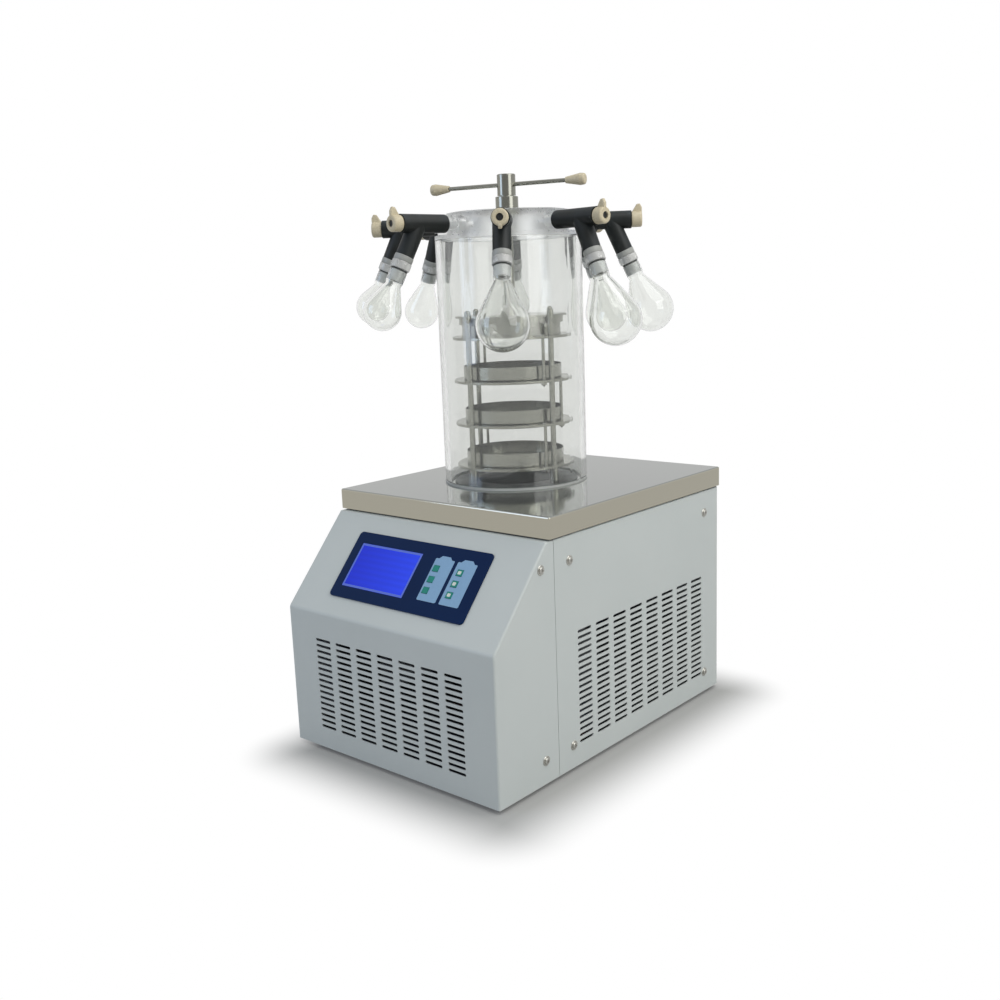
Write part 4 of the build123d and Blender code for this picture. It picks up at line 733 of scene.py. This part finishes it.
def printed(name, outline, openings, rise, ink, body, thickness=0.06):
    """A thin flat piece on the slope; outline and openings in millimetres from the middle of the panel."""
    piece = drawn(name, [(x, y, 0) for x, y in outline])
    bpy.ops.mesh.edge_face_add()
    for left, bottom, right, top in openings:
        for edge, along in ((left, "X"), (right, "X"), (bottom, "Y"), (top, "Y")):
            cut_line(edge, along)
    bpy.ops.mesh.select_mode(type="FACE")
    bpy.ops.mesh.select_all(action="DESELECT")
    bpy.ops.object.mode_set(mode="OBJECT")
    for face in piece.data.polygons:
        x, y = face.center.x / MM, face.center.y / MM
        face.select = any(o[0] < x < o[2] and o[1] < y < o[3] for o in openings)
    bpy.ops.object.mode_set(mode="EDIT")
    bpy.ops.mesh.delete(type="FACE")
    bpy.ops.mesh.select_all(action="SELECT")
    bpy.ops.mesh.extrude_region_move(TRANSFORM_OT_translate={"value": (0, 0, thickness * MM)})
    bpy.ops.mesh.select_all(action="SELECT")
    bpy.ops.mesh.normals_make_consistent(inside=False)
    bpy.ops.mesh.select_mode(type="VERT")
    bpy.ops.object.mode_set(mode="OBJECT")
    piece.matrix_world = slope @ Matrix.Translation((0, panel_middle * MM, rise * MM))
    bpy.ops.object.transform_apply(location=True, rotation=True, scale=True)
    piece.data.materials.append(ink)
    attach(piece, body)
    return piece


def rounded(left, bottom, right, top, radius, steps=4):
    """Corners of a rounded rectangle, anticlockwise from its lower right."""
    points = []
    for corner, (x, y) in enumerate(((right - radius, bottom + radius), (right - radius, top - radius),
                                     (left + radius, top - radius), (left + radius, bottom + radius))):
        for step in range(steps + 1):
            turn = math.radians(-90 + 90 * corner + 90 * step / steps)
            points.append((x + radius * math.cos(turn), y + radius * math.sin(turn)))
    return points


# %% Printed fields, margin and legends
panel_thickness, pad_relief, key_stand = 2.5, 0.3, 0.8
pad_size, tab_size = (35.5, 65.5), (24.0, 15.0, 4.5)
key_size, key_pitch, key_clearance = (11.0, 10.0), 17.0, 0.1
pad_columns, key_columns = (53.0, 94.3), (43.8, 87.8)
pad_inset, pad_corner = 0.2, 1.8
half_w, half_h = key_size[0] / 2 + key_clearance, key_size[1] / 2 + key_clearance
for column, (pad_x, key_x) in enumerate(zip(pad_columns, key_columns), start=1):
    left, right = pad_x - pad_size[0] / 2 + pad_inset, pad_x + pad_size[0] / 2 - pad_inset
    top = pad_size[1] / 2 - pad_inset
    tab_top = pad_size[1] / 2 + tab_size[2] - 0.3
    body = rounded(left, -top, right, top, pad_corner)
    tab = [(pad_x + tab_size[0] / 2, top), (pad_x + tab_size[1] / 2, tab_top),
           (pad_x - tab_size[1] / 2, tab_top), (pad_x - tab_size[0] / 2, top)]
    outline = body[:10] + tab + body[10:]           # the tab stands between the two upper corners
    holes = [(key_x - half_w, row * key_pitch - half_h, key_x + half_w, row * key_pitch + half_h)
             for row in (-1, 0, 1)]
    printed(f"key_field_{column}", outline, holes, panel_thickness + pad_relief, field_ink, "cabinet")
display_x, display_size, display_top, margin = -53.0, (122.0, 70.0), 2.0, 3.2
half_w, half_h = display_size[0] / 2, display_size[1] / 2
printed("display_margin", rounded(display_x - half_w, -half_h, display_x + half_w, half_h, 0.9),
        [(display_x - half_w + margin, -half_h + margin, display_x + half_w - margin, half_h - margin)],
        display_top, margin_ink, "cabinet")
legend_w, legend_h, legend_corner = 2.9, 2.5, 1.2
for row in range(3):
    middle = (1 - row) * key_pitch
    legend = rounded(key_columns[1] - legend_w, middle - legend_h,
                     key_columns[1] + legend_w, middle + legend_h, legend_corner)
    printed(f"key_legend_{row + 4}", legend, [], panel_thickness + pad_relief + key_stand, legend_ink,
            f"button_{row + 4}")

# %% [markdown]
# ## Valve stems
#
# Each knob is pressed on the square end of its stem.  Only the stem's black cap shows, at the bottom of the
# dimple in the knob's face.

# %% Stem caps
# Black acetal, moulded: satin, with a fine sparkle of the mould's grain.
black_acetal, tree, shader, place = new_material("moulded_black_acetal", Base_Color=linear("#191B1A"))
grain = add_node(tree, "ShaderNodeTexNoise", {"Vector": place, "Scale": per_metre(0.8), "Detail": 2.0})
gloss = add_node(tree, "ShaderNodeMapRange", {0: grain.outputs[0], 1: 0.3, 2: 0.7, 3: 0.3, 4: 0.5})
tree.links.new(gloss.outputs[0], shader.inputs["Roughness"])
knob_gap, knob_length, dimple_depth = 0.3, 15.5, 4.0
knob_end = knob_reach / MM + knob_gap + knob_length
cap_outline = [(0.0, 0.0), (4.9, 0.0), (4.9, 1.9), (4.5, 2.3), (1.6, 2.3), (1.3, 1.9), (0.0, 1.9)]
stem_cap = turned("stem_cap", cap_outline, 32)
stem_cap.data.materials.append(black_acetal)
for port, place_of_port in port_places.items():
    seat = Matrix.Translation(((knob_end - dimple_depth) * MM, 0, 0)) @ Matrix.Rotation(math.pi / 2, 4, "Y")
    piece = settled_copy(stem_cap, f"stem_cap_{port}", place_of_port @ seat)
    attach(piece, f"knob_{port}")
bpy.data.objects.remove(stem_cap)

# %% [markdown]
# ## Inside the cabinet
#
# Little of this shows through the slots, but it is seen when a cover is hidden.  The frame is hot-dip
# galvanised sheet, the compressor a black enamelled can and the condenser aluminium fins on copper pipe.  CAD
# made the pipes in one piece with what they are brazed to, so copper takes over where a pipe leaves its can
# or block.

# %% Zinc
# Hot-dip galvanised sheet: grey zinc crystals, called spangle, about 9 mm across.
zinc, tree, shader, place = new_material("galvanised_steel_sheet", Metallic=1.0)
spangle = add_node(tree, "ShaderNodeTexVoronoi", {"Vector": place, "Scale": per_metre(9.0)})
crystal = add_node(tree, "ShaderNodeSeparateXYZ", {0: spangle.outputs["Color"]}).outputs[0]
tone = add_node(tree, "ShaderNodeMix", {0: crystal, 6: linear("#5E6162"), 7: linear("#74787A")},
                data_type="RGBA")
tree.links.new(tone.outputs[2], shader.inputs["Base Color"])
gloss = add_node(tree, "ShaderNodeMapRange", {0: crystal, 3: 0.42, 4: 0.6})
tree.links.new(gloss.outputs[0], shader.inputs["Roughness"])
finish_nodes(zinc, "chassis", "fan_shroud")

# %% Compressor and condenser
copper = linear("#B26A45")


def copper_outside(name, inside, metallic, roughness, low, high):
    """A finish inside a box and bright copper outside it, in one material."""
    material, tree, shader, place = new_material(name)
    parts = add_node(tree, "ShaderNodeSeparateXYZ", {0: place}).outputs
    middle = [(low[axis] + high[axis]) / 2 for axis in range(3)]
    beyond = []
    for axis in range(3):
        shift = add_node(tree, "ShaderNodeMath", {0: parts[axis], 1: middle[axis]}, operation="SUBTRACT")
        size = add_node(tree, "ShaderNodeMath", {0: shift.outputs[0]}, operation="ABSOLUTE")
        over = add_node(tree, "ShaderNodeMath", {0: size.outputs[0], 1: (high[axis] - low[axis]) / 2},
                        operation="GREATER_THAN")
        beyond.append(over.outputs[0])
    pair = add_node(tree, "ShaderNodeMath", {0: beyond[0], 1: beyond[1]}, operation="MAXIMUM")
    pipe = add_node(tree, "ShaderNodeMath", {0: pair.outputs[0], 1: beyond[2]},
                    operation="MAXIMUM").outputs[0]
    tarnish = add_node(tree, "ShaderNodeTexNoise", {"Vector": place, "Scale": per_metre(11.0), "Detail": 4.0})
    aged = add_node(tree, "ShaderNodeMix", {0: tarnish.outputs[0], 6: copper, 7: linear("#7D4A35")},
                    data_type="RGBA")
    tone = add_node(tree, "ShaderNodeMix", {0: pipe, 6: linear(inside), 7: aged.outputs[2]}, data_type="RGBA")
    tree.links.new(tone.outputs[2], shader.inputs["Base Color"])
    metal = add_node(tree, "ShaderNodeMix", {0: pipe, 2: metallic, 3: 1.0}, data_type="FLOAT")
    tree.links.new(metal.outputs[0], shader.inputs["Metallic"])
    dull = add_node(tree, "ShaderNodeMapRange", {0: tarnish.outputs[0], 1: 0.3, 2: 0.7, 3: roughness,
                                                 4: roughness + 0.16})
    tree.links.new(dull.outputs[0], shader.inputs["Roughness"])
    return material


# Black stoving enamel on the can: glossy, hardly wavy.
can = copper_outside("stoved_black_enamel", "#191A1B", 0.0, 0.16, (-0.152, 0.046, 0.0), (-0.002, 0.228, 0.3))
finish_nodes(can, "compressor")
# Mill finish aluminium fins.
fins = copper_outside("mill_finish_aluminium", "#8E9192", 1.0, 0.3, (0.150, -0.0545, 0.0),
                      (0.192, 0.1765, 0.3))
finish_nodes(fins, "condenser")

# %% Mouldings and foam
# Glass filled polyamide, moulded: black and satin, with a fine eroded grain.
black_nylon, tree, shader, place = new_material("moulded_black_polyamide", Base_Color=linear("#1D1F20"))
erosion = add_node(tree, "ShaderNodeTexNoise", {"Vector": place, "Scale": per_metre(0.7), "Detail": 2.0})
gloss = add_node(tree, "ShaderNodeMapRange", {0: erosion.outputs[0], 1: 0.3, 2: 0.7, 3: 0.32, 4: 0.5})
tree.links.new(gloss.outputs[0], shader.inputs["Roughness"])
erosion_bump = add_node(tree, "ShaderNodeBump", {"Height": erosion.outputs[0], "Strength": 0.3,
                                                 "Distance": 0.0001})
tree.links.new(erosion_bump.outputs[0], shader.inputs["Normal"])
finish_nodes(black_nylon, "fan_rotor", "power_inlet", "power_rocker")

# Polyurethane foam, poured in place: cream, with cells about 1.5 mm across and a darker old skin.
foam, tree, shader, place = new_material("poured_polyurethane_foam", Roughness=0.85)
cells = add_node(tree, "ShaderNodeTexVoronoi", {"Vector": place, "Scale": per_metre(1.5)})
age = add_node(tree, "ShaderNodeTexNoise", {"Vector": place, "Scale": per_metre(45.0), "Detail": 3.0})
tone = add_node(tree, "ShaderNodeMix", {0: age.outputs[0], 6: linear("#DDD3AE"), 7: linear("#C2AE79")},
                data_type="RGBA")
tree.links.new(tone.outputs[2], shader.inputs["Base Color"])
cell_bump = add_node(tree, "ShaderNodeBump", {"Height": cells.outputs["Distance"], "Strength": 0.6,
                                              "Distance": 0.0005})
tree.links.new(cell_bump.outputs[0], shader.inputs["Normal"])
finish_nodes(foam, "trap_insulation")
